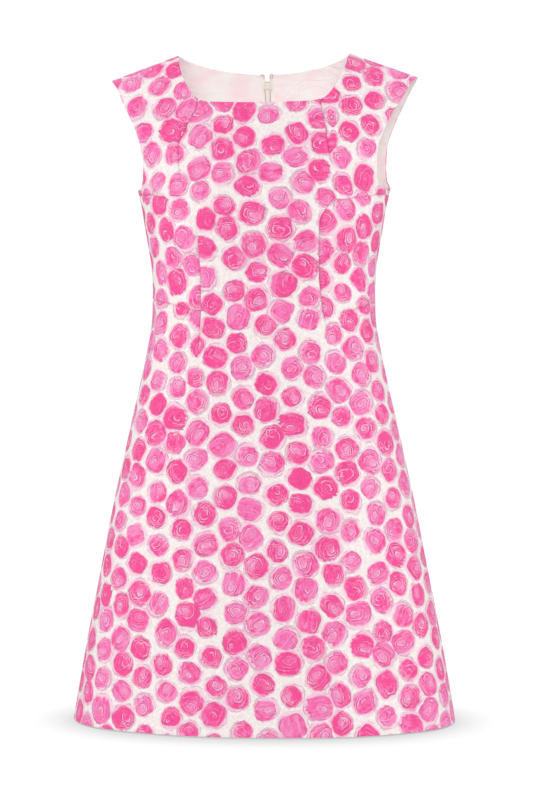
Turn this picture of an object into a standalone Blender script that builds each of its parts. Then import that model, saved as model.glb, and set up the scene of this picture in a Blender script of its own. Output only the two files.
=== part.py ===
"""A-line dress, sleeveless, with a squared neck, bust and waist darts and a centre-back zip.

The dress keeps the hollow form it has when it is filled out: +Z is up, the front
faces -Y, and the origin is midway between the two high points of the shoulders.
Every piece of cloth is a wall on a form that is worked out from the tables below.
Sizes are in millimetres and are turned into metres when the meshes are made.
"""
import math

import bmesh
import bpy
import numpy as np

MM = 0.001

# ---------------------------------------------------------------- cloth and seams
CLOTH = 1.2            # wall of the printed cotton with its interlining
FACING = 1.0           # wall of the plain facing
SEAM_GAP = 0.3         # clearance between neighbouring pieces
FACING_BOTTOM = -232.0  # level of the facing's lower edge

# ---------------------------------------------------------------- the form, level by level
# level z, half width at the side seams, depth of the front, depth of the back,
# and how square the front and back curves are (2 is an ellipse)
SECTIONS = [
    (60, 254, 122, 98, 2.3, 2.3),
    (0, 250, 122, 98, 2.3, 2.3),
    (-40, 242, 122, 98, 2.3, 2.3),
    (-60, 234, 122, 98, 2.3, 2.3),
    (-79, 224, 122, 98, 2.3, 2.3),
    (-100, 210, 122, 98, 2.35, 2.3),
    (-127, 193, 123, 98, 2.4, 2.3),
    (-150, 180, 124, 98, 2.4, 2.3),
    (-165, 174, 125, 98, 2.4, 2.3),
    (-181, 170.5, 126, 98, 2.4, 2.3),
    (-195, 167.4, 128, 97, 2.4, 2.3),
    (-209, 164.3, 128, 96, 2.4, 2.3),
    (-236, 160.0, 122, 92, 2.35, 2.3),
    (-263, 155.3, 112, 87, 2.3, 2.3),
    (-290, 151.4, 103, 83, 2.3, 2.3),
    (-324, 149.9, 97, 81, 2.3, 2.3),
    (-358, 151.0, 96, 84, 2.3, 2.3),
    (-385, 155.0, 97, 90, 2.3, 2.3),
    (-412, 160.3, 100, 97, 2.3, 2.3),
    (-439, 166.0, 103, 104, 2.3, 2.3),
    (-493, 178.4, 110, 114, 2.25, 2.25),
    (-547, 190.4, 117, 122, 2.2, 2.2),
    (-601, 202.4, 124, 129, 2.2, 2.2),
    (-709, 223.6, 136, 140, 2.15, 2.15),
    (-817, 244.2, 148, 150, 2.15, 2.15),
    (-893, 257.0, 156, 157, 2.15, 2.15),
]
HEM_Z = -893.0
UNDERARM_Z = -181.0

# ---------------------------------------------------------------- shoulders and bust
HALF_NECK = 116.0          # x of a high shoulder point
SHOULDER_TIP = (206.5, -32.4)
SHOULDER_SLOPE = 0.358     # fall of the shoulder seam for each mm outwards
RIDGE_RADIUS = {"front": 26.0, "back": 44.0}
CHEST_SLOPE = {"front": 0.24, "back": 0.20}
BUST_X, BUST_Z, BUST_SPREAD, BUST_RISE = 88.0, -213.0, 58.0, 9.0

# ---------------------------------------------------------------- edges, as x and z on one half
NECK_FRONT = [(0, -76.5), (22, -76.0), (50, -74.8), (70, -73.2), (80, -71.0), (88, -65.5),
              (94, -57.5), (99.5, -49.0), (104, -40.5), (108, -31.0), (112, -18), (114.5, -8), (116, 0)]
NECK_BACK = [(0, -16), (29, -15), (50, -13), (72, -10.6), (85, -8), (98, -4.8), (110, -1.5), (116, 0)]
NECK_CORNER = 0.575        # share of the front neck curve below its rounded corner

# armhole, upwards from the corner of its lower curve: level z, x at each side
ARM_FRONT_RIGHT = [(-181.5, 155), (-173, 153), (-160, 152.4), (-150, 152.4), (-130, 154.8), (-113, 160.5),
                   (-88, 171.4), (-68, 183.6), (-43, 197.5), (-32.4, 206.5)]
ARM_FRONT_LEFT = [(-181.5, 160.5), (-173, 158.3), (-160, 157.2), (-150, 157), (-130, 160.5), (-113, 165.7),
                  (-88, 176.5), (-68, 187), (-43, 198.5), (-32.4, 206.5)]
ARM_BACK = [(-170.5, 166.3), (-160, 164.8), (-149, 164.3), (-135, 164.5), (-121, 165.3), (-104, 169.5),
            (-88, 176), (-60, 190), (-43, 199.5), (-32.4, 206.5)]
# lower curve of the armhole: share of the way from that corner to the side seam, level z
SCYE_FRONT = [(0, -181.5), (0.17, -187), (0.38, -188.2), (0.68, -185.5), (1, -181)]
SCYE_BACK = [(0, -170.5), (0.35, -176.5), (0.7, -180.2), (1, -181)]

# ---------------------------------------------------------------- how finely the walls are faceted
BODY_LEVELS = [-893, -840, -780, -709, -640, -580, -520, -470, -430, -390, -350, -310, -275, -250, -232, -206, -181]
FRONT_COLUMNS = {"neck": 6, "arm": 11, "side": 15}
BACK_COLUMNS = {"neck": 6, "arm": 11, "side": 14}
NECK_SHARE = {"front": 0.36, "back": 0.50}   # share of the half girth under the neck corner
YOKE_STEPS = [0.0, 0.2, 0.4, 0.6, 0.8, 1.0]
STRAP_STEPS = [0.65, 0.42, 0.25, 0.13, 0.05, 0.012, 0.0012, 0.0]
BACK_STEPS = [0.0, 0.15, 0.3, 0.45, 0.58, 0.69, 0.77, 0.83, 0.879, 0.93, 0.962, 0.985, 0.9965, 0.9992, 1.0]

# ---------------------------------------------------------------- centre-back zip
PLACKET = 9.5              # width of the tape's strip between seam and facing
TAPE_INNER = 3.3
TAPE_OUTER = 9.2
CHAIN_HALF = 2.7
ZIP_BOTTOM = -520.0
ZIP_OPEN = [(-16.0, 2.7), (-36.0, 2.4), (-44.0, SEAM_GAP / 2)]   # level, half gap of the back edges
SLIDER_Z = -28.0
SLIDER = {"width": 7.4, "height": 10.0, "thickness": 3.4}
BRIDGE = {"width": 1.6, "height": 5.6, "rise": 2.8, "eye_low": 0.1, "eye_high": 2.0, "eye_height": 3.8}
PULL_AXIS = (1.0, -0.9)    # out from the cloth, and up, from the slider's middle
PULL = {"length": 23.0, "width": 4.6, "thickness": 1.1, "window": 2.3, "window_end": -4.8}


# ================================================================ curves and the form
def ease(xs, ys, q):
    """Smooth curve through a table's points that never overshoots them."""
    xs, ys = np.asarray(xs, float), np.asarray(ys, float)
    if xs[0] > xs[-1]:
        xs, ys = xs[::-1], ys[::-1]
    h = np.diff(xs)
    s = np.diff(ys) / h
    m = np.zeros(len(xs))
    m[0], m[-1] = s[0], s[-1]
    for i in range(1, len(xs) - 1):
        if s[i - 1] * s[i] > 0:
            w1, w2 = 2 * h[i] + h[i - 1], h[i] + 2 * h[i - 1]
            m[i] = (w1 + w2) / (w1 / s[i - 1] + w2 / s[i])
    q = np.clip(np.asarray(q, float), xs[0], xs[-1])
    i = np.clip(np.searchsorted(xs, q) - 1, 0, len(xs) - 2)
    t = (q - xs[i]) / h[i]
    return ((2 * t ** 3 - 3 * t ** 2 + 1) * ys[i] + (t ** 3 - 2 * t ** 2 + t) * h[i] * m[i]
            + (-2 * t ** 3 + 3 * t ** 2) * ys[i + 1] + (t ** 3 - t ** 2) * h[i] * m[i + 1])


def column_of(table, k, q):
    return ease([row[0] for row in table], [row[k] for row in table], q)


def along(points, share):
    """Point at a share of the length of an edge given as (x, z) pairs."""
    p = np.asarray(points, float)
    run = np.concatenate([[0], np.cumsum(np.hypot(*np.diff(p, axis=0).T))])
    s = np.asarray(share, float) * run[-1]
    return ease(run, p[:, 0], s), ease(run, p[:, 1], s)


def shoulder_z(x):
    """Level of the shoulder line: straight on the shoulders, a smooth arch across the neck."""
    u = np.minimum(np.abs(x) / HALF_NECK, 1.0)
    arch = 0.75 - u ** 2 + 0.25 * u ** 4
    return SHOULDER_SLOPE * (HALF_NECK * arch - np.maximum(np.abs(x) - HALF_NECK, 0.0))


def depth_at(face, x, z, share):
    """Depth of the cloth from the shoulder line's plane; share is 1 at the centre, 0 at the side."""
    full = column_of(SECTIONS, 2 if face == "front" else 3, z)
    d = np.maximum(shoulder_z(x) - z, 0.0)
    rise = np.sqrt(2 * RIDGE_RADIUS[face] * d + (CHEST_SLOPE[face] * d) ** 2)
    depth = (np.maximum(rise, 1e-6) ** -6.0 + full ** -6.0) ** (-1 / 6.0) * share
    if face == "front":
        reach = ((np.abs(x) - BUST_X) ** 2 + (z - BUST_Z) ** 2) / BUST_SPREAD ** 2
        depth = depth + BUST_RISE * share * np.exp(-reach)
    return depth


def depth_over(face, x, z):
    half = column_of(SECTIONS, 1, z)
    power = column_of(SECTIONS, 4 if face == "front" else 5, z)
    share = np.maximum(1 - (np.abs(x) / half) ** power, 0.0) ** (1 / power)
    return depth_at(face, x, z, share)


def section(face, z, steps=240):
    """Half of the level section, from the centre line to the side seam: x, depth and length so far."""
    t = np.linspace(0, math.pi / 2, steps + 1)
    half = column_of(SECTIONS, 1, z)
    power = column_of(SECTIONS, 4 if face == "front" else 5, z)
    x = half * np.sin(t) ** (2 / power)
    share = np.cos(t) ** (2 / power)
    share[-1] = 0.0
    y = depth_at(face, x, z, share)
    return x, y, np.concatenate([[0], np.cumsum(np.hypot(np.diff(x), np.diff(y)))])


def girth_share(face, z, x):
    xs, _, run = section(face, z)
    return float(np.interp(x, xs, run)) / run[-1]


# ================================================================ half panels as grids of points
def shares(face, counts, arm_share):
    """Share of the half girth for each column, from the centre line to the side seam."""
    n, a, s = counts["neck"], counts["arm"], counts["side"]
    neck = NECK_SHARE[face]
    last = 1 - 3.2 / 231.0       # a narrow last strip keeps the seam's edge square
    out = [neck * j / n for j in range(n)]
    out += [neck + (arm_share - neck) * j / (a - n) for j in range(a - n)]
    out += [arm_share + (last - arm_share) * j / (s - a - 1) for j in range(s - a)]
    return out + [1.0]


def under_level(face, f, arm_share, scye):
    """Level of the row that carries the lower curve of the armhole."""
    if f >= arm_share:
        return float(column_of(scye, 1, (f - arm_share) / (1 - arm_share)))
    t = max(0.0, (f / arm_share - 0.55) / 0.45)
    return UNDERARM_Z + (scye[0][1] - UNDERARM_Z) * t * t * (3 - 2 * t)


def half_panel(face, arm, scye, counts):
    """Points of one half of a panel as {(row, column): (x, depth, z)}, x outwards."""
    n, a, s = counts["neck"], counts["arm"], counts["side"]
    arm_share = girth_share(face, arm[0][0], arm[0][1])
    f = shares(face, counts, arm_share)
    base = PLACKET if face == "back" else 0.0
    grid = {}

    def on_body(level, j):
        x, y, run = section(face, level)
        reach = f[j] * run[-1]
        if base and j >= 1:      # the strip beside the zip keeps its width at every level
            g = (f[j] - f[1]) / (1 - f[1])
            reach = base + g * (run[-1] - base)
        return float(np.interp(reach, run, x)), float(np.interp(reach, run, y))

    under = [under_level(face, f[j], arm_share, scye) for j in range(s + 1)]
    for i, level in enumerate(BODY_LEVELS):
        fade = min(1.0, max(0.0, (level - BODY_LEVELS[11]) / (UNDERARM_Z - BODY_LEVELS[11])))
        for j in range(s + 1):
            z = level + (under[j] - UNDERARM_Z) * fade * fade
            x, y = on_body(z, j)
            grid[i, j] = (x, y, z)
    top = len(BODY_LEVELS) - 1
    foot = [grid[top, j][0] / grid[top, a][0] for j in range(a + 1)]

    if face == "front":
        low_z = -72.0
        low_x = float(column_of(arm, 1, low_z))
        nx, nz = along(NECK_FRONT, np.linspace(0, NECK_CORNER, n + 1))
        head = [(float(nx[j]), float(nz[j])) for j in range(n + 1)]
        for j in range(n + 1, a + 1):
            t = (j - n) / (a - n)
            head.append((head[n][0] + (low_x - head[n][0]) * t, head[n][1] + (low_z - head[n][1]) * t))
        steps = YOKE_STEPS
    else:
        cut = along(NECK_BACK, np.linspace(0, 1, n + 1))
        head = [(float(cut[0][j]), float(cut[1][j])) for j in range(n + 1)]
        for j in range(n + 1, a + 1):
            t = (j - n) / (a - n)
            x = HALF_NECK + (SHOULDER_TIP[0] - HALF_NECK) * t
            head.append((x, float(shoulder_z(x))))
        head[1] = (PLACKET, float(ease([p[0] for p in NECK_BACK], [p[1] for p in NECK_BACK], PLACKET)))
        steps = BACK_STEPS

    for k, r in enumerate(steps[1:], 1):
        edge_z = under[a] + (head[a][1] - under[a]) * r
        edge_x = float(column_of(arm, 1, edge_z))
        for j in range(a + 1):
            z = under[j] + (head[j][1] - under[j]) * r
            x = (foot[j] + (head[j][0] / head[a][0] - foot[j]) * r) * edge_x
            if j == 1 and base:
                x = PLACKET
            grid[top + k, j] = (x, float(depth_over(face, x, z)), z)
    row = top + len(steps) - 1

    if face == "front":
        for k, d in enumerate(STRAP_STEPS, 1):
            ix, iz = along(NECK_FRONT, 1 - d * (1 - NECK_CORNER))
            oz = SHOULDER_TIP[1] + (head[a][1] - SHOULDER_TIP[1]) * d
            ox = float(column_of(arm, 1, oz))
            for j in range(n, a + 1):
                t = (j - n) / (a - n)
                x, z = float(ix) + (ox - float(ix)) * t, float(iz) + (oz - float(iz)) * t
                grid[row + k, j] = (x, float(depth_over(face, x, z)), z)
        row += len(STRAP_STEPS)

    half_gap = SEAM_GAP / 2
    for (i, j), (x, y, z) in list(grid.items()):
        if j == s and i <= top:
            y = half_gap                                   # side seam
        if i == row:
            seam = j >= n
            y = max(y, half_gap) if not seam else half_gap  # shoulder seam
        if face == "back" and j == 0:
            x = float(column_of(ZIP_OPEN, 1, z))            # edge beside the zip
        grid[i, j] = (x, y, z)
    return grid


# ================================================================ meshes
def cloth_material(name, rgb, rough, metal=0.0):
    m = bpy.data.materials.new(name)
    m.use_nodes = True
    p = m.node_tree.nodes["Principled BSDF"]
    p.inputs["Base Color"].default_value = (*rgb, 1.0)
    p.inputs["Roughness"].default_value = rough
    p.inputs["Metallic"].default_value = metal
    return m


def sheet(name, points, collection, material, thickness):
    """Open surface through a grid of points, with its wall as a Solidify modifier on the inner side."""
    bm = bmesh.new()
    verts = {key: bm.verts.new([c * MM for c in p]) for key, p in sorted(points.items())}
    for (i, j) in sorted(points):
        ring = [(i, j), (i, j + 1), (i + 1, j + 1), (i + 1, j)]
        if all(k in verts for k in ring):
            bm.faces.new([verts[k] for k in ring])
    middle = sum((v.co.y for v in bm.verts)) / len(bm.verts)
    bm.normal_update()
    if sum(f.normal.y * f.calc_area() for f in bm.faces) * middle < 0:
        bmesh.ops.reverse_faces(bm, faces=bm.faces[:])
    bm.normal_update()
    normals = {key: tuple(v.normal) for key, v in verts.items()}
    mesh = bpy.data.meshes.new(name)
    bm.to_mesh(mesh)
    bm.free()
    mesh.shade_smooth()
    mesh.materials.append(material)
    ob = bpy.data.objects.new(name, mesh)
    collection.objects.link(ob)
    wall = ob.modifiers.new("wall", "SOLIDIFY")
    wall.thickness = thickness * MM
    wall.offset = -1.0
    wall.use_even_offset = False
    return ob, normals


def mirrored(points, sign_x, sign_y):
    return {(i, j): (sign_x * x, sign_y * y, z) for (i, j), (x, y, z) in points.items()}


def moved_in(points, normals, distance, keep):
    """The grid's points that pass keep, moved to the inner side by a distance."""
    out = {}
    for key, p in points.items():
        if keep(*key, p):
            nrm = normals[key]
            out[key] = tuple(c - distance * k for c, k in zip(p, nrm))
    return out


def box(name, low, high, collection, material=None, bevel=0.0):
    bpy.ops.mesh.primitive_cube_add(size=1.0)
    ob = bpy.context.object
    ob.name = ob.data.name = name
    for c in ob.users_collection:
        c.objects.unlink(ob)
    collection.objects.link(ob)
    for v in ob.data.vertices:
        v.co = [((a + b) / 2 + (b - a) * k) * MM for a, b, k in zip(low, high, v.co)]
    if material:
        ob.data.materials.append(material)
    if bevel:
        m = ob.modifiers.new("round", "BEVEL")
        m.width = bevel * MM
        m.segments = 2
    return ob


def boolean(ob, cutter, operation):
    m = ob.modifiers.new(operation.lower(), "BOOLEAN")
    m.operation = operation
    m.object = cutter
    m.solver = "EXACT"
    cutter.hide_render = True
    cutter.display_type = "WIRE"


def build():
    for ob in list(bpy.data.objects):
        bpy.data.objects.remove(ob, do_unlink=True)
    dress = bpy.data.collections.new("a-line-dress")
    cutters = bpy.data.collections.new("cutters")
    for c in (dress, cutters):
        bpy.context.scene.collection.children.link(c)

    print_cloth = cloth_material("printed cotton", (0.86, 0.28, 0.50), 0.75)
    facing_cloth = cloth_material("plain facing", (0.88, 0.76, 0.72), 0.7)
    tape_cloth = cloth_material("zip tape", (0.86, 0.81, 0.72), 0.85)
    coil = cloth_material("zip chain", (0.80, 0.74, 0.68), 0.5)
    metal = cloth_material("cream enamel", (0.81, 0.73, 0.66), 0.38)

    # ---- front, one piece from side seam to side seam
    right = half_panel("front", ARM_FRONT_RIGHT, SCYE_FRONT, FRONT_COLUMNS)
    left = half_panel("front", ARM_FRONT_LEFT, SCYE_FRONT, FRONT_COLUMNS)
    front = {(i, j): (x, -y, z) for (i, j), (x, y, z) in right.items()}
    front.update({(i, -j): (-x, -y, z) for (i, j), (x, y, z) in left.items() if j > 0})
    _, front_normals = sheet("front", front, dress, print_cloth, CLOTH)

    # ---- backs, one each side of the zip
    half = half_panel("back", ARM_BACK, SCYE_BACK, BACK_COLUMNS)
    backs, back_normals = {}, {}
    for side, sign in (("left", -1), ("right", 1)):
        backs[side] = mirrored(half, sign, 1)
        _, back_normals[side] = sheet("back_" + side, backs[side], dress, print_cloth, CLOTH)

    # ---- facings: the panels' own points, moved in by the cloth and the seam gap
    inset = CLOTH + SEAM_GAP
    shoulder_row = max(i for i, j in front)
    facing = moved_in(front, front_normals, inset, lambda i, j, p: BODY_LEVELS[min(i, 16)] >= FACING_BOTTOM)
    facing = {(i, j): (x, min(y, -0.45) if i == shoulder_row else y, z) for (i, j), (x, y, z) in facing.items()}
    sheet("facing_front", facing, dress, facing_cloth, FACING)
    top_row = max(i for i, j in half)
    for side in ("left", "right"):
        facing = moved_in(backs[side], back_normals[side], inset,
                          lambda i, j, p: j >= 1 and BODY_LEVELS[min(i, 16)] >= FACING_BOTTOM)
        facing = {(i, j): (x, max(y, 0.45) if i == top_row else y, z) for (i, j), (x, y, z) in facing.items()}
        sheet("facing_back_" + side, facing, dress, facing_cloth, FACING)

    # ---- zip tapes and chain, on the backs' own points beside the seam
    for side, sign in (("left", -1), ("right", 1)):
        strip = {}
        for i in sorted({i for i, j in half}):
            seam, edge = backs[side][i, 0], backs[side][i, 1]
            if seam[2] < ZIP_BOTTOM - 1:
                continue
            nrm = back_normals[side][i, 1]
            inner = TAPE_INNER if seam[2] < -40 else TAPE_INNER + 1.0
            for k, reach in ((0, inner), (1, TAPE_OUTER)):
                t = (sign * reach - seam[0]) / (edge[0] - seam[0])
                p = [a + (b - a) * t for a, b in zip(seam, edge)]
                strip[i, k] = (p[0], p[1] - inset * nrm[1], p[2] - inset * nrm[2])
        sheet("zip_tape_" + side, strip, dress, tape_cloth, 0.8)

    spine = [(backs["right"][i, 0], back_normals["right"][i, 1]) for i in sorted({i for i, j in half})]
    spine = [(p, n) for p, n in spine if ZIP_BOTTOM + 4 < p[2] < SLIDER_Z - SLIDER["height"] / 2]
    chain = {}
    for i, (p, nrm) in enumerate(spine):
        for k in (-1, 0, 1):
            chain[i, k] = (k * CHAIN_HALF, p[1] - inset * nrm[1], p[2] - inset * nrm[2])
    sheet("zip_chain", chain, dress, coil, 1.8)

    # ---- slider and its hinged pull, set to the slope of the back
    z1, z2 = SLIDER_Z - 8.0, SLIDER_Z + 6.0
    y1, y2 = (float(depth_over("back", 2.5, z)) for z in (z1, z2))
    slope = math.atan2(y1 - y2, z2 - z1)
    place = (0.0, float(depth_over("back", 2.5, SLIDER_Z)), SLIDER_Z)
    w, h, t = SLIDER["width"] / 2, SLIDER["height"] / 2, SLIDER["thickness"]
    slider = box("zip_slider", (-w, -1.5 - t, -h), (w, -1.5, h), dress, metal, bevel=0.7)
    b = BRIDGE
    arch = box("slider_arch", (-b["width"] / 2, -2.2, -b["height"] / 2),
               (b["width"] / 2, b["rise"], b["height"] / 2), cutters)
    eye = box("slider_eye", (-2.0, b["eye_low"], -b["eye_height"] / 2), (2.0, b["eye_high"], b["eye_height"] / 2), cutters)
    boolean(slider, arch, "UNION")
    boolean(slider, eye, "DIFFERENCE")
    for ob in (slider, arch, eye):
        ob.location = [c * MM for c in place]
        ob.rotation_euler = (slope, 0.0, 0.0)

    hinge = bpy.data.objects.new("pull_hinge", None)
    dress.objects.link(hinge)
    out, up = PULL_AXIS
    hinge.location = [c * MM for c in (
        0.0, place[1] + out * math.cos(slope) - up * math.sin(slope),
        place[2] + out * math.sin(slope) + up * math.cos(slope))]
    hinge.rotation_euler = (slope, 0.0, 0.0)
    g = PULL
    pull = box("zip_pull_tab", (-g["width"] / 2, -g["thickness"] / 2, -g["length"]),
               (g["width"] / 2, g["thickness"] / 2, g["thickness"] / 2), dress, metal, bevel=0.3)
    window = box("pull_window", (-g["window"] / 2, -2.0, g["window_end"]),
                 (g["window"] / 2, 2.0, -g["thickness"] / 2), cutters)
    boolean(pull, window, "DIFFERENCE")
    for ob in (pull, window):
        ob.parent = hinge
    print("hinge at", [round(c, 6) for c in hinge.location], "slope", round(slope, 5))


build()
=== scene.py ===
import math

import bpy
import numpy as np
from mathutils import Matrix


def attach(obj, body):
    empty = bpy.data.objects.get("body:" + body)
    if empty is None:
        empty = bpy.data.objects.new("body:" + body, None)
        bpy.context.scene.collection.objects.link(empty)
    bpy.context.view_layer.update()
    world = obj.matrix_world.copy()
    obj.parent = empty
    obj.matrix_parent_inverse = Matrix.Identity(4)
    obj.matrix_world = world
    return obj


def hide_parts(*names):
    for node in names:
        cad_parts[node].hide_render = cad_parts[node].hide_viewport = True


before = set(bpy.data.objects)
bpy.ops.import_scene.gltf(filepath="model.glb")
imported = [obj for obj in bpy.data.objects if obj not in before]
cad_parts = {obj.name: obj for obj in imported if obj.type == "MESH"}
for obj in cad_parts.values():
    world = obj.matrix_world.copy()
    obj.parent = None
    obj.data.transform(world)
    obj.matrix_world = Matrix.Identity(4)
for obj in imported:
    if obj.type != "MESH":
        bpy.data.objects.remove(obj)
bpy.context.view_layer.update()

MM = 0.001

# ================================================================ camera
# The picture is 533 x 800: 36 mm of sensor stand for its 800 rows.
AZIMUTH = math.radians(4.0)
DISTANCE = 2.5
cam = bpy.data.objects.new("camera", bpy.data.cameras.new("camera"))
bpy.context.scene.collection.objects.link(cam)
cam.data.sensor_fit = "VERTICAL"
cam.data.sensor_height = 36.0
cam.data.lens = 83.333
cam.data.shift_x = 2.5 / 800
cam.data.clip_end = 60.0
cam.location = (DISTANCE * math.sin(AZIMUTH), -DISTANCE * math.cos(AZIMUTH), -0.46575)
cam.rotation_euler = (math.radians(90), 0.0, AZIMUTH)
bpy.context.scene.camera = cam

# ================================================================ the form, as in the CAD
CLOTH, FACING, SEAM_GAP, FACING_BOTTOM = 1.2, 1.0, 0.3, -232.0
INSET = CLOTH + SEAM_GAP
SECTIONS = [
    (60, 254, 122, 98, 2.3, 2.3), (0, 250, 122, 98, 2.3, 2.3), (-40, 242, 122, 98, 2.3, 2.3),
    (-60, 234, 122, 98, 2.3, 2.3), (-79, 224, 122, 98, 2.3, 2.3), (-100, 210, 122, 98, 2.35, 2.3),
    (-127, 193, 123, 98, 2.4, 2.3), (-150, 180, 124, 98, 2.4, 2.3), (-165, 174, 125, 98, 2.4, 2.3),
    (-181, 170.5, 126, 98, 2.4, 2.3), (-195, 167.4, 128, 97, 2.4, 2.3), (-209, 164.3, 128, 96, 2.4, 2.3),
    (-236, 160.0, 122, 92, 2.35, 2.3), (-263, 155.3, 112, 87, 2.3, 2.3), (-290, 151.4, 103, 83, 2.3, 2.3),
    (-324, 149.9, 97, 81, 2.3, 2.3), (-358, 151.0, 96, 84, 2.3, 2.3), (-385, 155.0, 97, 90, 2.3, 2.3),
    (-412, 160.3, 100, 97, 2.3, 2.3), (-439, 166.0, 103, 104, 2.3, 2.3), (-493, 178.4, 110, 114, 2.25, 2.25),
    (-547, 190.4, 117, 122, 2.2, 2.2), (-601, 202.4, 124, 129, 2.2, 2.2), (-709, 223.6, 136, 140, 2.15, 2.15),
    (-817, 244.2, 148, 150, 2.15, 2.15), (-893, 257.0, 156, 157, 2.15, 2.15),
]
HEM_Z, UNDERARM_Z = -893.0, -181.0
HALF_NECK, SHOULDER_TIP, SHOULDER_SLOPE = 116.0, (206.5, -32.4), 0.358
RIDGE_RADIUS = {"front": 26.0, "back": 44.0}
CHEST_SLOPE = {"front": 0.24, "back": 0.20}
BUST_X, BUST_Z, BUST_SPREAD, BUST_RISE = 88.0, -213.0, 58.0, 9.0
NECK_FRONT = [(0, -76.5), (22, -76.0), (50, -74.8), (70, -73.2), (80, -71.0), (88, -65.5),
              (94, -57.5), (99.5, -49.0), (104, -40.5), (108, -31.0), (112, -18), (114.5, -8), (116, 0)]
NECK_BACK = [(0, -16), (29, -15), (50, -13), (72, -10.6), (85, -8), (98, -4.8), (110, -1.5), (116, 0)]
NECK_CORNER = 0.575
ARM_FRONT_RIGHT = [(-181.5, 155), (-173, 153), (-160, 152.4), (-150, 152.4), (-130, 154.8), (-113, 160.5),
                   (-88, 171.4), (-68, 183.6), (-43, 197.5), (-32.4, 206.5)]
ARM_FRONT_LEFT = [(-181.5, 160.5), (-173, 158.3), (-160, 157.2), (-150, 157), (-130, 160.5), (-113, 165.7),
                  (-88, 176.5), (-68, 187), (-43, 198.5), (-32.4, 206.5)]
ARM_BACK = [(-170.5, 166.3), (-160, 164.8), (-149, 164.3), (-135, 164.5), (-121, 165.3), (-104, 169.5),
            (-88, 176), (-60, 190), (-43, 199.5), (-32.4, 206.5)]
SCYE_FRONT = [(0, -181.5), (0.17, -187), (0.38, -188.2), (0.68, -185.5), (1, -181)]
SCYE_BACK = [(0, -170.5), (0.35, -176.5), (0.7, -180.2), (1, -181)]
PLACKET = 9.5
ZIP_BOTTOM, SLIDER_Z = -520.0, -28.0
ZIP_OPEN = [(-16.0, 2.7), (-36.0, 2.4), (-44.0, SEAM_GAP / 2)]


def ease(xs, ys, q):
    """Smooth curve through a table's points that never overshoots them."""
    xs, ys = np.asarray(xs, float), np.asarray(ys, float)
    if xs[0] > xs[-1]:
        xs, ys = xs[::-1], ys[::-1]
    h = np.diff(xs)
    s = np.diff(ys) / h
    m = np.zeros(len(xs))
    m[0], m[-1] = s[0], s[-1]
    for i in range(1, len(xs) - 1):
        if s[i - 1] * s[i] > 0:
            w1, w2 = 2 * h[i] + h[i - 1], h[i] + 2 * h[i - 1]
            m[i] = (w1 + w2) / (w1 / s[i - 1] + w2 / s[i])
    q = np.clip(np.asarray(q, float), xs[0], xs[-1])
    i = np.clip(np.searchsorted(xs, q) - 1, 0, len(xs) - 2)
    t = (q - xs[i]) / h[i]
    return ((2 * t ** 3 - 3 * t ** 2 + 1) * ys[i] + (t ** 3 - 2 * t ** 2 + t) * h[i] * m[i]
            + (-2 * t ** 3 + 3 * t ** 2) * ys[i + 1] + (t ** 3 - t ** 2) * h[i] * m[i + 1])


def column_of(table, k, q):
    return ease([row[0] for row in table], [row[k] for row in table], q)


def line_of(table, q):
    """Straight lines through a table's points."""
    rows = sorted(table)
    return np.interp(q, [r[0] for r in rows], [r[1] for r in rows])


def along(points, share):
    p = np.asarray(points, float)
    run = np.concatenate([[0], np.cumsum(np.hypot(*np.diff(p, axis=0).T))])
    s = np.asarray(share, float) * run[-1]
    return ease(run, p[:, 0], s), ease(run, p[:, 1], s)


def shoulder_z(x):
    u = np.minimum(np.abs(x) / HALF_NECK, 1.0)
    arch = 0.75 - u ** 2 + 0.25 * u ** 4
    return SHOULDER_SLOPE * (HALF_NECK * arch - np.maximum(np.abs(x) - HALF_NECK, 0.0))


def depth_at(face, x, z, share):
    full = column_of(SECTIONS, 2 if face == "front" else 3, z)
    d = np.maximum(shoulder_z(x) - z, 0.0)
    rise = np.sqrt(2 * RIDGE_RADIUS[face] * d + (CHEST_SLOPE[face] * d) ** 2)
    depth = (np.maximum(rise, 1e-6) ** -6.0 + full ** -6.0) ** (-1 / 6.0) * share
    if face == "front":
        reach = ((np.abs(x) - BUST_X) ** 2 + (z - BUST_Z) ** 2) / BUST_SPREAD ** 2
        depth = depth + BUST_RISE * share * np.exp(-reach)
    return depth


def depth_over(face, x, z):
    half = column_of(SECTIONS, 1, z)
    power = column_of(SECTIONS, 4 if face == "front" else 5, z)
    share = np.maximum(1 - (np.abs(x) / half) ** power, 0.0) ** (1 / power)
    return depth_at(face, x, z, share)


# the angle of the level curve at each share of the half girth, level by level
LEVELS = np.arange(-904.0, -150.0, 4.0)
SHARES = np.linspace(0, 1, 241)


def girth_table(face):
    t = np.linspace(0, math.pi / 2, 401)
    angles, lengths = [], []
    for z in LEVELS:
        half = column_of(SECTIONS, 1, z)
        power = column_of(SECTIONS, 4 if face == "front" else 5, z)
        x, share = half * np.sin(t) ** (2 / power), np.cos(t) ** (2 / power)
        share[-1] = 0.0
        y = depth_at(face, x, z, share)
        run = np.concatenate([[0], np.cumsum(np.hypot(np.diff(x), np.diff(y)))])
        angles.append(np.interp(SHARES, run / run[-1], t))
        lengths.append(run[-1])
    return np.array(angles), np.array(lengths)


GIRTH = {face: girth_table(face) for face in ("front", "back")}


def on_body(face, z, f):
    """x and depth of the cloth at level z and share f of the half girth."""
    angles, _ = GIRTH[face]
    a = np.clip((z - LEVELS[0]) / 4.0, 0, len(LEVELS) - 1.001)
    b = np.clip(f * 240.0, 0, 239.999)
    i, j = a.astype(int), b.astype(int)
    u, v = a - i, b - j
    t = ((angles[i, j] * (1 - v) + angles[i, j + 1] * v) * (1 - u)
         + (angles[i + 1, j] * (1 - v) + angles[i + 1, j + 1] * v) * u)
    half = column_of(SECTIONS, 1, z)
    power = column_of(SECTIONS, 4 if face == "front" else 5, z)
    x = half * np.sin(t) ** (2 / power)
    return x, depth_at(face, x, z, np.maximum(np.cos(t), 0.0) ** (2 / power))


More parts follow.
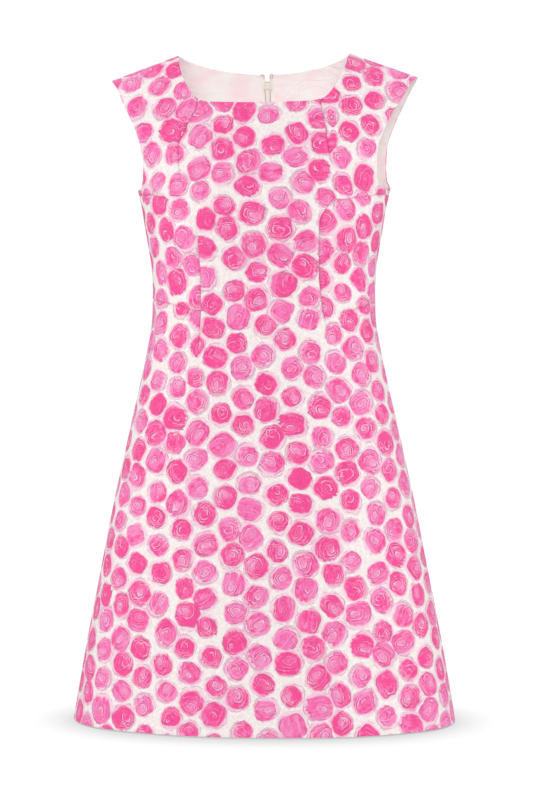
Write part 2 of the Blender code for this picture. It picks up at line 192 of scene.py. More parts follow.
def half_girth(face, z):
    return np.interp(z, LEVELS, GIRTH[face][1])


def share_of(face, z, x):
    """Share of the half girth at which the level curve z reaches x."""
    half = float(column_of(SECTIONS, 1, z))
    power = float(column_of(SECTIONS, 4 if face == "front" else 5, z))
    t = math.asin(min(1.0, (abs(x) / half) ** (power / 2)))
    i = int(np.clip(round((z - LEVELS[0]) / 4.0), 0, len(LEVELS) - 1))
    return float(np.interp(t, GIRTH[face][0][i], SHARES))


# ================================================================ fine grids of the panels
def fill(a, b, step, near_a=(), near_b=()):
    """Places from a to b about a step apart, closer where offsets from an end are given."""
    lo, hi = a + (near_a[-1] if near_a else 0), b - (near_b[-1] if near_b else 0)
    mid = np.linspace(lo, hi, max(1, round((hi - lo) / step)) + 1)
    return np.unique(np.round(np.concatenate(
        [[a, b], [a + k for k in near_a], mid, [b - k for k in near_b]]), 4))


def joined(*parts):
    return np.unique(np.concatenate(parts))


# how a sewn line runs, as (level, x) down a column or (x, level) along a row, and how much
# cloth it takes in, in millimetres
DART = {
    ("front", -1): {"path": [(-60, 84.5), (-69, 83.5), (-79, 84.5), (-104, 97), (-131, 107.5), (-158, 106), (-183, 100.8),
                             (-206, 92), (-230, 82.8), (-260, 79), (-310, 77.2), (-351, 77.0), (-409, 81), (-520, 92),
                             (-893, 124)],
                    "intake": [(-60, 16), (-110, 12), (-150, 7), (-188, 0), (-228, 0), (-250, 4), (-290, 16), (-324, 21),
                               (-352, 19), (-385, 8), (-412, 0)]},
    ("front", 1): {"path": [(-60, 80.5), (-69, 80), (-79, 80.5), (-104, 85.5), (-131, 89.6), (-150, 91.5), (-183, 97),
                            (-200, 101), (-206.5, 101.5), (-211, 94), (-216, 89.3), (-223.3, 85.4), (-230, 81.4),
                            (-242, 79.3), (-270, 78.2), (-310, 78.2), (-340, 81.5), (-366, 86), (-420, 90), (-520, 97),
                            (-893, 126)],
                   "intake": [(-60, 15), (-110, 10), (-140, 5), (-160, 0), (-205, 0), (-207, 6), (-230, 6), (-280, 16),
                              (-320, 20), (-345, 12), (-368, 0)]},
    ("back", 1): {"path": [(0, 84), (-60, 82), (-120, 80), (-190, 78), (-250, 76), (-324, 75), (-430, 78), (-893, 118)],
                  "intake": [(-196, 0), (-250, 8), (-324, 21), (-390, 9), (-440, 0)]},
}
BUST_DART = {
    -1: {"path": [(0, -200), (60, -203), (95, -207.5), (112, -207.6), (120.3, -205), (131.4, -200.3), (145.4, -194.6),
                  (158, -192.2), (171, -191.8)],
         "intake": [(108, 0), (125, 6), (145, 13), (171, 17)]},
    1: {"path": [(0, -200), (60, -203.5), (89, -207), (103, -206.5), (120.3, -202.6), (132.2, -200.3), (151.6, -195.6),
                 (160, -193.6), (171, -192.6)],
        "intake": [(98, 0), (101, 7), (125, 11), (171, 16)]},
}
TUCK = {
    -1: {"path": [(0, -345), (60, -350), (77, -351.3), (97, -347.8), (116.5, -341.3), (137, -334.1), (151, -330)],
         "intake": [(75, 0), (77, 8), (110, 11), (151, 11)]},
    1: {"path": [(0, -345), (60, -351), (84, -353), (100, -352), (111.4, -349.4), (128.8, -344.7), (144.2, -337.7),
                 (151, -335)],
        "intake": [(100, 0), (112, 3), (130, 8), (151, 10)]},
}
BUST_LEVEL, TUCK_LEVEL = -200.0, -341.0

FRONT_INNER = fill(0, 85, 5.0, near_b=(1.0, 2.2, 4.0))
FRONT_MID = fill(85, 150, 5.0, near_a=(1.0, 2.2, 4.0), near_b=(1.2, 3.0))
FRONT_SIDE = fill(150, 195, 5.0, near_b=(0.8, 2.0, 4.0))
BACK_STRIP = fill(0, 9.5, 2.6, near_a=(0.6, 1.5))
BACK_INNER = fill(9.5, 85, 5.0, near_b=(1.0, 2.2, 4.0))
BACK_MID = fill(85, 150, 5.0, near_a=(1.0, 2.2, 4.0), near_b=(1.2, 3.0))
BACK_SIDE = fill(150, 185, 5.0, near_b=(0.8, 2.0, 4.0))
BODY_ROWS = joined(fill(-893, -858, 6.0, near_a=(0.8, 2.0, 4.0)), fill(-858, TUCK_LEVEL, 5.6, near_b=(1.0, 2.2, 4.0)),
                   fill(TUCK_LEVEL, BUST_LEVEL, 5.0, near_a=(1.0, 2.2, 4.0), near_b=(1.0, 2.2, 4.0)),
                   fill(BUST_LEVEL, UNDERARM_Z, 3.4, near_a=(1.0, 2.2), near_b=(1.0, 2.4)))
YOKE_ROWS = fill(0, 1, 0.04, near_b=(0.01, 0.025))
STRAP_ROWS = np.linspace(1, 0, 27)[1:] ** 2.0
BACK_ROWS = 1 - np.linspace(1, 0, 47) ** 1.8


class Half:
    """One half of a panel as arrays of x (outwards), depth and level, with the indexes of its sewn lines."""

    def __init__(self, face, side, arm, scye):
        back = face == "back"
        cols = joined(BACK_STRIP, BACK_INNER, BACK_MID, BACK_SIDE) if back else joined(FRONT_INNER, FRONT_MID, FRONT_SIDE)
        at = lambda value: int(np.argmin(np.abs(cols - value)))
        d, a, s = at(85), at(150), len(cols) - 1
        n = at(120) if back else d + 4
        self.cols, self.d, self.a, self.s, self.n = cols, d, a, s, n
        dart = DART[face, side]
        arm_share = share_of(face, arm[0][0], arm[0][1])
        levels = np.linspace(-893, -181, 120)
        dart_share = [share_of(face, z, float(line_of(dart["path"], z))) for z in levels]

        # shares of the half girth, row by row
        under = np.empty(s + 1)
        top = len(BODY_ROWS) - 1
        base_f = self.spread(np.array([np.interp(-181, levels, dart_share)]), arm_share, face, -181.0)[0]
        for j in range(s + 1):
            f = base_f[j]
            if f >= arm_share - 1e-9:
                under[j] = float(column_of(scye, 1, (f - arm_share) / (1 - arm_share)))
            else:
                t = max(0.0, (f / arm_share - 0.55) / 0.45)
                under[j] = UNDERARM_Z + (scye[0][1] - UNDERARM_Z) * t * t * (3 - 2 * t)
        rows = BODY_ROWS[:, None]
        level = rows + np.clip((rows - BUST_LEVEL) / (UNDERARM_Z - BUST_LEVEL), 0, 1) * (under - UNDERARM_Z)[None, :]
        if not back:
            for table, peak, reach in ((BUST_DART[side], BUST_LEVEL, 62.0), (TUCK[side], TUCK_LEVEL, 62.0)):
                fs = [share_of(face, peak, x) for x, _ in table["path"]]
                fs[-1] = 1.0
                shift = np.interp(base_f, fs, [z for _, z in table["path"]]) - peak
                high = UNDERARM_Z if peak == BUST_LEVEL else peak + reach
                w = np.minimum(np.clip((rows - peak + reach) / reach, 0, 1), np.clip((high - rows) / (high - peak), 0, 1))
                level = level + w * shift[None, :]
        fd = np.interp(level[:, d], levels, dart_share)
        share = self.spread(fd, arm_share, face, level)
        x, y = on_body(face, level, share)
        X, Y, Z = [x], [y], [level]

        foot = x[top, :a + 1] / x[top, a]
        if back:
            share_n = np.concatenate([np.interp(cols[:n + 1], [0, PLACKET, 85, 120], [0, PLACKET / 117.2, 0.74, 1.0])])
            nx, nz = along(NECK_BACK, share_n)
            strip = cols[:n + 1] <= PLACKET + 1e-6
            nx = np.where(strip, cols[:n + 1], nx)
            nz = np.where(strip, ease([p[0] for p in NECK_BACK], [p[1] for p in NECK_BACK], cols[:n + 1]), nz)
            t = (cols[n + 1:a + 1] - cols[n]) / (cols[a] - cols[n])
            hx = HALF_NECK + (SHOULDER_TIP[0] - HALF_NECK) * t
            head = np.concatenate([nx, hx]), np.concatenate([nz, shoulder_z(hx)])
            steps = BACK_ROWS
        else:
            run_x, run_z = along(NECK_FRONT, np.linspace(0, NECK_CORNER, 400))
            share_d = float(np.interp(float(line_of(dart["path"], -69)), run_x, np.linspace(0, NECK_CORNER, 400)))
            share_n = np.interp(cols[:n + 1], [0, cols[d], cols[n]], [0, share_d, NECK_CORNER])
            nx, nz = along(NECK_FRONT, share_n)
            low_x = float(column_of(arm, 1, -72.0))
            t = (cols[n + 1:a + 1] - cols[n]) / (cols[a] - cols[n])
            head = (np.concatenate([nx, nx[-1] + (low_x - nx[-1]) * t]),
                    np.concatenate([nz, nz[-1] + (-72.0 - nz[-1]) * t]))
            steps = YOKE_ROWS
        hx, hz = head
        for r in steps[1:]:
            edge_x = float(column_of(arm, 1, under[a] + (hz[a] - under[a]) * r))
            z = under[:a + 1] + (hz - under[:a + 1]) * r
            x = (foot + (hx / hx[a] - foot) * r) * edge_x
            if back:
                strip = cols[:a + 1] <= PLACKET + 1e-6
                x = np.where(strip, cols[:a + 1], x)
            else:
                goal = float(line_of(dart["path"], max(z[d], -893)))
                goal = goal + (hx[d] - goal) * r ** 8
                inner = cols[:a + 1] <= cols[d]
                x = np.where(inner, x * goal / x[d], x[a] - (x[a] - x) * (x[a] - goal) / (x[a] - x[d]))
            pad = np.full(s - a, np.nan)
            X.append(np.concatenate([x, pad])[None]), Z.append(np.concatenate([z, pad])[None])
            Y.append(np.concatenate([depth_over(face, x, z), pad])[None])
        self.rows = list(BODY_ROWS) + [-180 + 100 * r for r in steps[1:]]
        if not back:
            t = (cols[n:a + 1] - cols[n]) / (cols[a] - cols[n])
            for k, e in enumerate(STRAP_ROWS):
                ix, iz = along(NECK_FRONT, 1 - e * (1 - NECK_CORNER))
                oz = SHOULDER_TIP[1] + (hz[a] - SHOULDER_TIP[1]) * e
                ox = float(column_of(arm, 1, oz))
                x, z = float(ix) + (ox - float(ix)) * t, float(iz) + (oz - float(iz)) * t
                lo, hi = np.full(n, np.nan), np.full(s - a, np.nan)
                X.append(np.concatenate([lo, x, hi])[None]), Z.append(np.concatenate([lo, z, hi])[None])
                Y.append(np.concatenate([lo, depth_over(face, x, z), hi])[None])
                self.rows.append(-79 + 100 * (1 - e))
        X, Y, Z = np.concatenate(X), np.concatenate(Y), np.concatenate(Z)
        Y[:top + 1, s] = SEAM_GAP / 2
        Y[-1, n:a + 1] = SEAM_GAP / 2
        if back:
            Y[-1, :n] = np.maximum(Y[-1, :n], SEAM_GAP / 2)
            gap = column_of(ZIP_OPEN, 1, Z[:, 0])
            for j in range(int(np.sum(cols < PLACKET))):       # the edge beside the zip parts above the slider
                w = 1 - cols[j] / PLACKET
                X[:, j] = X[:, j] + w * gap
                Y[:, j] = np.where(np.isnan(Y[:, j]), np.nan, depth_over(face, np.maximum(X[:, j], 2.5), Z[:, j]))
            Y[-1, :n] = np.maximum(Y[-1, :n], SEAM_GAP / 2)
        self.X, self.Y, self.Z, self.top = X, Y, Z, top
        self.bust_row, self.tuck_row = (int(np.argmin(np.abs(BODY_ROWS - k))) for k in (BUST_LEVEL, TUCK_LEVEL))

    def spread(self, fd, arm_share, face, z):
        """Share of the half girth for each row and column, with the dart's column on the dart."""
        c, fd = self.cols[None, :], np.atleast_1d(fd)[:, None]
        if face == "back":
            strip = PLACKET / half_girth(face, z)
            inner = np.where(c <= PLACKET, c / PLACKET * strip, strip + (fd - strip) * (c - PLACKET) / (85 - PLACKET))
        else:
            inner = fd * c / 85
        last = self.cols[-1]
        return np.where(c <= 85, inner, np.where(
            c <= 150, fd + (arm_share - fd) * (c - 85) / 65, arm_share + (1 - arm_share) * (c - 150) / (last - 150)))


def runs(P, axis):
    """Length along the grid's lines from their first valid point, per axis."""
    step = np.linalg.norm(np.diff(P, axis=axis), axis=2)
    step = np.nan_to_num(step, nan=0.0)
    zero = np.zeros((1, P.shape[1])) if axis == 0 else np.zeros((P.shape[0], 1))
    return np.concatenate([zero, np.cumsum(step, axis=axis)], axis=axis)


class Panel:
    """A panel's grid: points (rows, columns, xyz) in mm with nan where there is no cloth."""

    def __init__(self, name, P, cols, rows, column_darts, row_darts, key_cols, key_rows, seam, flip):
        self.name, self.P, self.cols, self.rows = name, P, np.asarray(cols, float), np.asarray(rows, float)
        self.column_darts, self.row_darts, self.flip = column_darts, row_darts, flip
        self.key_cols, self.key_rows = key_cols, key_rows        # lines that the flat net keeps
        self.valid = ~np.isnan(P[..., 0])
        v = self.valid
        self.cells = v[:-1, :-1] & v[1:, :-1] & v[:-1, 1:] & v[1:, 1:]
        self.seam = seam                     # marks grid points on a seam's edge
        self.across, self.up = runs(P, 1), runs(P, 0)
        self.normal = self.normals(P)
        self.flatten()

    def normals(self, P):
        """Unit normals out of the dress at each grid point."""
        Q = np.nan_to_num(P)
        n = np.cross(Q[1:, 1:] - Q[:-1, :-1], Q[1:, :-1] - Q[:-1, 1:]) * self.cells[..., None]
        if self.flip:
            n = -n
        out = np.zeros_like(Q)
        for a, b in ((0, 0), (0, 1), (1, 0), (1, 1)):
            out[a:a + n.shape[0], b:b + n.shape[1]] += n
        length = np.linalg.norm(out, axis=2, keepdims=True)
        return out / np.maximum(length, 1e-12)

    def flatten(self):
        """Lays the panel flat: a coarse net of the grid's own lengths is relaxed in the plane, with each dart open."""
        R, C = self.valid.shape
        keys_c = sorted({0, C - 1} | set(self.column_darts) | set(self.key_cols))
        keys_r = sorted({0, R - 1} | set(self.row_darts) | set(self.key_rows))

        def thin(keys):
            out = []
            for a, b in zip(keys[:-1], keys[1:]):
                k = max(1, round((b - a) / 4))
                out += [int(round(a + (b - a) * i / k)) for i in range(k)]
            return out + [keys[-1]]

        cc, rr = thin(keys_c), thin(keys_r)
        ec = [(c, k) for c in cc for k in ((0, 1) if c in self.column_darts else (0,))]
        er = [(r, k) for r in rr for k in ((0, 1) if r in self.row_darts else (0,))]
        ci, ri = np.array([c for c, _ in ec]), np.array([r for r, _ in er])
        V = self.valid[np.ix_(ri, ci)]
        Q = np.nan_to_num(self.P)[np.ix_(ri, ci)]
        across, up = self.across[np.ix_(ri, ci)], self.up[np.ix_(ri, ci)]
        h = np.diff(across, axis=1)
        for k in range(len(ec) - 1):
            if ec[k][0] == ec[k + 1][0]:
                h[:, k] = self.column_darts[ec[k][0]](Q[:, k, 2])
        v = np.diff(up, axis=0)
        for k in range(len(er) - 1):
            if er[k][0] == er[k + 1][0]:
                v[k, :] = self.row_darts[er[k][0]](Q[k, :, 0])
        chord_h = np.linalg.norm(np.diff(Q, axis=1), axis=2)
        chord_v = np.linalg.norm(np.diff(Q, axis=0), axis=2)

        def diagonal(p, q, ha, va, ch, cv):
            straight = np.linalg.norm(p - q, axis=2)
            zero = (ch < 1e-6) | (cv < 1e-6)
            ratio = (ha + va) / np.maximum(ch + cv, 1e-9)
            return np.where(zero, np.hypot(ha, va), straight * ratio)

        ha, va = (h[:-1] + h[1:]) / 2, (v[:, :-1] + v[:, 1:]) / 2
        ch, cv = (chord_h[:-1] + chord_h[1:]) / 2, (chord_v[:, :-1] + chord_v[:, 1:]) / 2
        d1 = diagonal(Q[:-1, :-1], Q[1:, 1:], ha, va, ch, cv)
        d2 = diagonal(Q[:-1, 1:], Q[1:, :-1], ha, va, ch, cv)
        U = np.concatenate([np.zeros((len(er), 1)), np.cumsum(h, axis=1)], axis=1)
        mid = int(np.argmin(np.abs(self.cols[ci])))
        U = U - U[:, mid:mid + 1]
        W = np.concatenate([np.zeros((1, len(ec))), np.cumsum(v, axis=0)], axis=0)
        F = np.stack([U, W], axis=2)
        ok_h = V[:, :-1] & V[:, 1:]
        ok_v = V[:-1] & V[1:]
        ok_d = V[:-1, :-1] & V[1:, 1:] & V[:-1, 1:] & V[1:, :-1]
        groups = []
        for par in (0, 1):
            groups.append((np.s_[:, par:-1:2], np.s_[:, par + 1::2], h[:, par::2], ok_h[:, par::2], 1.0))
            groups.append((np.s_[par:-1:2, :], np.s_[par + 1::2, :], v[par::2], ok_v[par::2], 1.0))
            groups.append((np.s_[par:-1:2, :-1], np.s_[par + 1::2, 1:], d1[par::2], ok_d[par::2], 0.5))
            groups.append((np.s_[par:-1:2, 1:], np.s_[par + 1::2, :-1], d2[par::2], ok_d[par::2], 0.5))
        for _ in range(900):
            for a, b, rest, ok, stiff in groups:
                p, q = F[a], F[b]
                m = min(p.shape[0], q.shape[0], rest.shape[0]), min(p.shape[1], q.shape[1], rest.shape[1])
                p, q = p[:m[0], :m[1]], q[:m[0], :m[1]]
                delta = q - p
                length = np.linalg.norm(delta, axis=2)
                move = (0.5 * stiff * ok[:m[0], :m[1]] * (length - rest[:m[0], :m[1]]) / np.maximum(length, 1e-6))[..., None] * delta
                p += move
                q -= move
        self.ec, self.er, self.F, self.V = ec, er, F, V

        # corners of every fine cell in the flat panel
        spread_c = np.array([c for c, k in ec if k == 0])
        spread_r = np.array([r for r, k in er if k == 0])
        last_c = {c: i for i, (c, k) in enumerate(ec)}
        first_c = {}
        for i, (c, k) in enumerate(ec):
            first_c.setdefault(c, i)
        last_r = {r: i for i, (r, k) in enumerate(er)}
        first_r = {}
        for i, (r, k) in enumerate(er):
            first_r.setdefault(r, i)
        jc = np.clip(np.searchsorted(spread_c, np.arange(C - 1), side="right") - 1, 0, len(spread_c) - 2)
        ir = np.clip(np.searchsorted(spread_r, np.arange(R - 1), side="right") - 1, 0, len(spread_r) - 2)
        c0, c1 = spread_c[jc], spread_c[jc + 1]
        r0, r1 = spread_r[ir], spread_r[ir + 1]
        lo_c, hi_c = np.array([last_c[c] for c in c0]), np.array([first_c[c] for c in c1])
        lo_r, hi_r = np.array([last_r[r] for r in r0]), np.array([first_r[r] for r in r1])
        cp, rp = self.cols, self.rows
        s = [(cp[np.arange(C - 1) + k] - cp[c0]) / (cp[c1] - cp[c0]) for k in (0, 1)]
        t = [(rp[np.arange(R - 1) + k] - rp[r0]) / (rp[r1] - rp[r0]) for k in (0, 1)]
        uv = np.zeros((R - 1, C - 1, 4, 2))
        A, B = F[np.ix_(lo_r, lo_c)], F[np.ix_(lo_r, hi_c)]
        Cc, D = F[np.ix_(hi_r, hi_c)], F[np.ix_(hi_r, lo_c)]
        for k, (i, j) in enumerate(((0, 0), (0, 1), (1, 1), (1, 0))):
            a, b = t[i][:, None, None], s[j][None, :, None]
            uv[:, :, k] = A * (1 - a) * (1 - b) + B * (1 - a) * b + Cc * a * b + D * a * (1 - b)
        self.uv = uv
        cell = self.cells
        a = uv[..., 1, :] - uv[..., 3, :]
        b = uv[..., 2, :] - uv[..., 0, :]
        self.flat_area = float(np.sum(np.abs(a[..., 0] * b[..., 1] - a[..., 1] * b[..., 0])[cell]) / 2) * 1e-6
        self.flat_low = uv[cell].reshape(-1, 2).min(axis=0)
        self.flat_high = uv[cell].reshape(-1, 2).max(axis=0)
        self.flat_size = tuple((self.flat_high - self.flat_low) * MM)


# ================================================================ meshes
def add_object(name, mesh):
    ob = bpy.data.objects.new(name, mesh)
    bpy.context.scene.collection.objects.link(ob)
    return ob


def mesh_from(name, verts, faces, materials, face_mats=None, uvs=None, smooth=True, seam=None):
    mesh = bpy.data.meshes.new(name)
    mesh.from_pydata([tuple(v) for v in np.asarray(verts) * MM], [], [tuple(int(k) for k in f) for f in faces])
    for m in materials:
        mesh.materials.append(m)
    if face_mats is not None:
        mesh.polygons.foreach_set("material_index", np.asarray(face_mats, dtype=np.int32))
    for layer, data in (uvs or {}).items():
        mesh.uv_layers.new(name=layer).data.foreach_set("uv", np.asarray(data, dtype=np.float32).ravel())
    # the 'seam' attribute carries painted shade along the darts and seams
    if seam is not None:
        mesh.attributes.new("seam", "FLOAT", "POINT").data.foreach_set("value", np.asarray(seam, dtype=np.float32))
    mesh.polygons.foreach_set("use_smooth", np.full(len(mesh.polygons), smooth))
    mesh.update()
    return add_object(name, mesh)


def shell(name, panel, outer, inner, materials, first_row=0, first_col=0, last_col=None, last_row=None, roll=1.0,
          inner_share=0.3):
    """Closed wall of cloth between two surfaces on a panel's grid, with rounded free edges."""
    R, C = panel.valid.shape
    last_col = C - 1 if last_col is None else last_col
    last_row = R - 1 if last_row is None else last_row
    cells = np.zeros_like(panel.cells)
    cells[first_row:last_row, first_col:last_col] = panel.cells[first_row:last_row, first_col:last_col]
    used = np.zeros((R, C), bool)
    for a, b in ((0, 0), (0, 1), (1, 0), (1, 1)):
        used[a:a + R - 1, b:b + C - 1] |= cells
    index = -np.ones((R, C), int)
    index[used] = np.arange(used.sum())
    count = int(used.sum())
    verts = [outer[used], inner[used]]
    # painted shade for the print's colour: the dart and seam lines on the outer face, none on the inner face
    line = getattr(panel, "line", np.zeros((R, C)))
    shade = [line[used], np.zeros(count)]
    ii, jj = np.nonzero(cells)
    ring = np.stack([index[ii, jj], index[ii, jj + 1], index[ii + 1, jj + 1], index[ii + 1, jj]], axis=1)
    uv = panel.uv[ii, jj]
    low, high = uv.reshape(-1, 2).min(axis=0), uv.reshape(-1, 2).max(axis=0)
    span = high - low
    wide = 0.975 - inner_share
    bake_o = np.stack([0.008 + (uv[..., 0] - low[0]) / span[0] * wide, 0.008 + (uv[..., 1] - low[1]) / span[1] * 0.984], -1)
    bake_i = np.stack([0.008 + wide + 0.012 + (uv[..., 0] - low[0]) / span[0] * (inner_share - 0.01),
                       0.008 + (uv[..., 1] - low[1]) / span[1] * 0.984], -1)
    order = [0, 1, 2, 3] if not panel.flip else [3, 2, 1, 0]
    back = order[::-1]
    faces = [ring[:, order], ring[:, back] + count]
    mats = [np.zeros(len(ring), int), np.ones(len(ring), int)]
    uvs = [uv[:, order], uv[:, back]]
    bakes = [bake_o[:, order], bake_i[:, back]]

    # free and sewn edges, each with the cell that it belongs to
    edges = []
    padded = np.zeros((R + 1, C + 1), bool)
    padded[1:R, 1:C] = cells
    below, above = padded[:R, 1:C], padded[1:R + 1, 1:C]
    for i, j in zip(*np.nonzero(below != above)):
        up = above[i, j]
        edges.append(((i, j), (i, j + 1), (i if up else i - 1, j), (0, 1) if up else (3, 2)))
    left, right = padded[1:R, :C], padded[1:R, 1:C + 1]
    for i, j in zip(*np.nonzero(left != right)):
        on = right[i, j]
        edges.append(((i, j), (i + 1, j), (i, j if on else j - 1), (0, 3) if on else (1, 2)))
    outward = np.zeros((R, C, 3))
    sewn = np.zeros((R, C), bool)
    for p, q, cell, _ in edges:
        a, b = outer[p], outer[q]
        middle = (outer[cell] + outer[cell[0] + 1, cell[1] + 1]) / 2
        away = (a + b) / 2 - middle
        line = (b - a) / max(np.linalg.norm(b - a), 1e-9)
        away = away - line * np.dot(away, line)
        away = away / max(np.linalg.norm(away), 1e-9)
        outward[p] += away
        outward[q] += away
        if panel.seam[p] and panel.seam[q]:
            sewn[p] = sewn[q] = True
    bound = np.linalg.norm(outward, axis=2) > 1e-9
    length = np.maximum(np.linalg.norm(outward, axis=2, keepdims=True), 1e-9)
    outward = outward / length
    bulge = np.where(sewn, 0.0, roll)
    rim_index = -np.ones((R, C), int)
    rim_index[bound] = np.arange(bound.sum())
    steps = ((0.14, 0.40), (0.5, 0.58), (0.86, 0.40))
    wall = outer - inner
    thick = np.linalg.norm(wall, axis=2, keepdims=True)
    start = 2 * count
    for k, (f, h) in enumerate(steps):
        p = outer + (inner - outer) * f + outward * (bulge[..., None] * h * thick)
        verts.append(p[bound])
        # painted shade on the rims of sewn edges
        shade.append(np.where(sewn, 0.9, 0.0)[bound])
    n_rim = int(bound.sum())
    rim_faces, rim_uv, rim_bake, rim_mats = [], [], [], []
    for p, q, cell, (ca, cb) in edges:
        i, j = cell
        ua, ub = panel.uv[i, j, ca], panel.uv[i, j, cb]
        centre = panel.uv[i, j].mean(axis=0)
        line = (ub - ua) / max(np.linalg.norm(ub - ua), 1e-9)
        e = (ua + ub) / 2 - centre
        e = e - line * np.dot(e, line)
        e = e / max(np.linalg.norm(e), 1e-9)
        chain_p = [index[p]] + [start + k * n_rim + rim_index[p] for k in range(3)] + [index[p] + count]
        chain_q = [index[q]] + [start + k * n_rim + rim_index[q] for k in range(3)] + [index[q] + count]
        mid_n = panel.normal[p]
        a, b = outer[p], outer[q]
        for k in range(4):
            quad = [chain_p[k], chain_q[k], chain_q[k + 1], chain_p[k + 1]]
            w0, w1 = 0.35 * k, 0.35 * (k + 1)
            cu = np.array([ua + e * w0, ub + e * w0, ub + e * w1, ua + e * w1])
            facing_out = np.dot(np.cross(b - a, inner[q] - outer[p]), outward[p]) > 0
            if not facing_out:
                quad, cu = quad[::-1], cu[::-1]
            rim_faces.append(quad)
            rim_uv.append(cu)
            rim_bake.append(np.stack([0.008 + (cu[:, 0] - low[0]) / span[0] * wide,
                                      0.008 + (cu[:, 1] - low[1]) / span[1] * 0.984], -1))
            rim_mats.append(0)
    faces.append(np.array(rim_faces))
    uvs.append(np.array(rim_uv))
    bakes.append(np.array(rim_bake))
    mats.append(np.array(rim_mats))
    ob = mesh_from(name, np.concatenate(verts), np.concatenate(faces), materials, np.concatenate(mats),
                   {"print": (np.concatenate(uvs) + panel.cut_at) * MM, "OFBake": np.clip(np.concatenate(bakes), 0.001, 0.999)},
                   seam=np.concatenate(shade))
    return ob


# ================================================================ creases, folds and grooves
def fold_field(x, z, folds):
    """Sum of soft ridges (+) and troughs (-): each is a run of points with a height and a width in mm."""
    out = np.zeros_like(x)
    for points, height, width in folds:
        pts = np.asarray(points, float)
        run = np.concatenate([[0], np.cumsum(np.hypot(*np.diff(pts, axis=0).T))])
        best = np.full(x.shape, 1e9)
        where = np.zeros(x.shape)
        for k in range(len(pts) - 1):
            a, b = pts[k], pts[k + 1]
            d = b - a
            t = np.clip(((x - a[0]) * d[0] + (z - a[1]) * d[1]) / np.dot(d, d), 0, 1)
            dist = np.hypot(x - a[0] - t * d[0], z - a[1] - t * d[1])
            closer = dist < best
            where = np.where(closer, run[k] + t * (run[k + 1] - run[k]), where)
            best = np.where(closer, dist, best)
        s = where / run[-1]
        fade = np.sin(np.pi * np.clip(0.08 + 0.84 * s, 0, 1)) ** 0.7
        out += height * fade * np.exp(-(best / width) ** 2)
    return out


def groove(distance, amount):
    """Height of the cloth beside a sewn line: a sharp dip with slightly raised shoulders."""
    return amount * (-1.4 * np.exp(-distance / 1.05) + 0.42 * np.exp(-((distance - 4.4) / 3.4) ** 2))


def lump(distance, amount):
    """How far the taken-in cloth behind a sewn line pushes the inner side in."""
    return amount * 1.9 * np.exp(-(distance / 3.2) ** 2)


# ---------------------------------------------------------------- front
def front_panel():
    left = Half("front", -1, ARM_FRONT_LEFT, SCYE_FRONT)
    right = Half("front", 1, ARM_FRONT_RIGHT, SCYE_FRONT)
    s = right.s
    P = np.full((right.X.shape[0], 2 * s + 1, 3), np.nan)
    P[:, s:, 0], P[:, s:, 1], P[:, s:, 2] = right.X, -right.Y, right.Z
    for j in range(1, s + 1):
        P[:, s - j] = np.stack([-left.X[:, j], -left.Y[:, j], left.Z[:, j]], axis=1)
    cols = np.concatenate([-right.cols[:0:-1], right.cols])
    seam = np.zeros(P.shape[:2], bool)
    seam[:right.top + 1, 0] = seam[:right.top + 1, -1] = True
    seam[-1, :] = True
    d = right.d

    def taking(table, side):
        return lambda q: line_of(table["intake"], q if side is None else q * side)

    column_darts = {s - d: taking(DART["front", -1], None), s + d: taking(DART["front", 1], None)}

    def rows_of(kind):
        left_side, right_side = taking(kind[-1], -1), taking(kind[1], 1)
        return lambda x: np.where(x < 0, left_side(x), right_side(x))

    row_darts = {right.tuck_row: rows_of(TUCK), right.bust_row: rows_of(BUST_DART)}
    panel = Panel("front", P, cols, right.rows, column_darts, row_darts,
                  [s - right.a, s - right.n, s, s + right.n, s + right.a], [right.top, right.top + len(YOKE_ROWS) - 1],
                  seam, False)
    panel.half, panel.mid = right, s
    return panel


def back_panel(side):
    half = Half("back", 1, ARM_BACK, SCYE_BACK)
    P = np.stack([side * half.X, half.Y, half.Z], axis=2)
    seam = np.zeros(P.shape[:2], bool)
    seam[:half.top + 1, -1] = True
    seam[:, 0] = True
    seam[-1, half.n:] = True
    column_darts = {half.d: lambda z: line_of(DART["back", 1]["intake"], z)}
    panel = Panel("back", P, half.cols, half.rows, column_darts, {},
                  [int(np.argmin(np.abs(half.cols - PLACKET))), half.n, half.a], [half.top], seam, side > 0)
    panel.half = half
    return panel


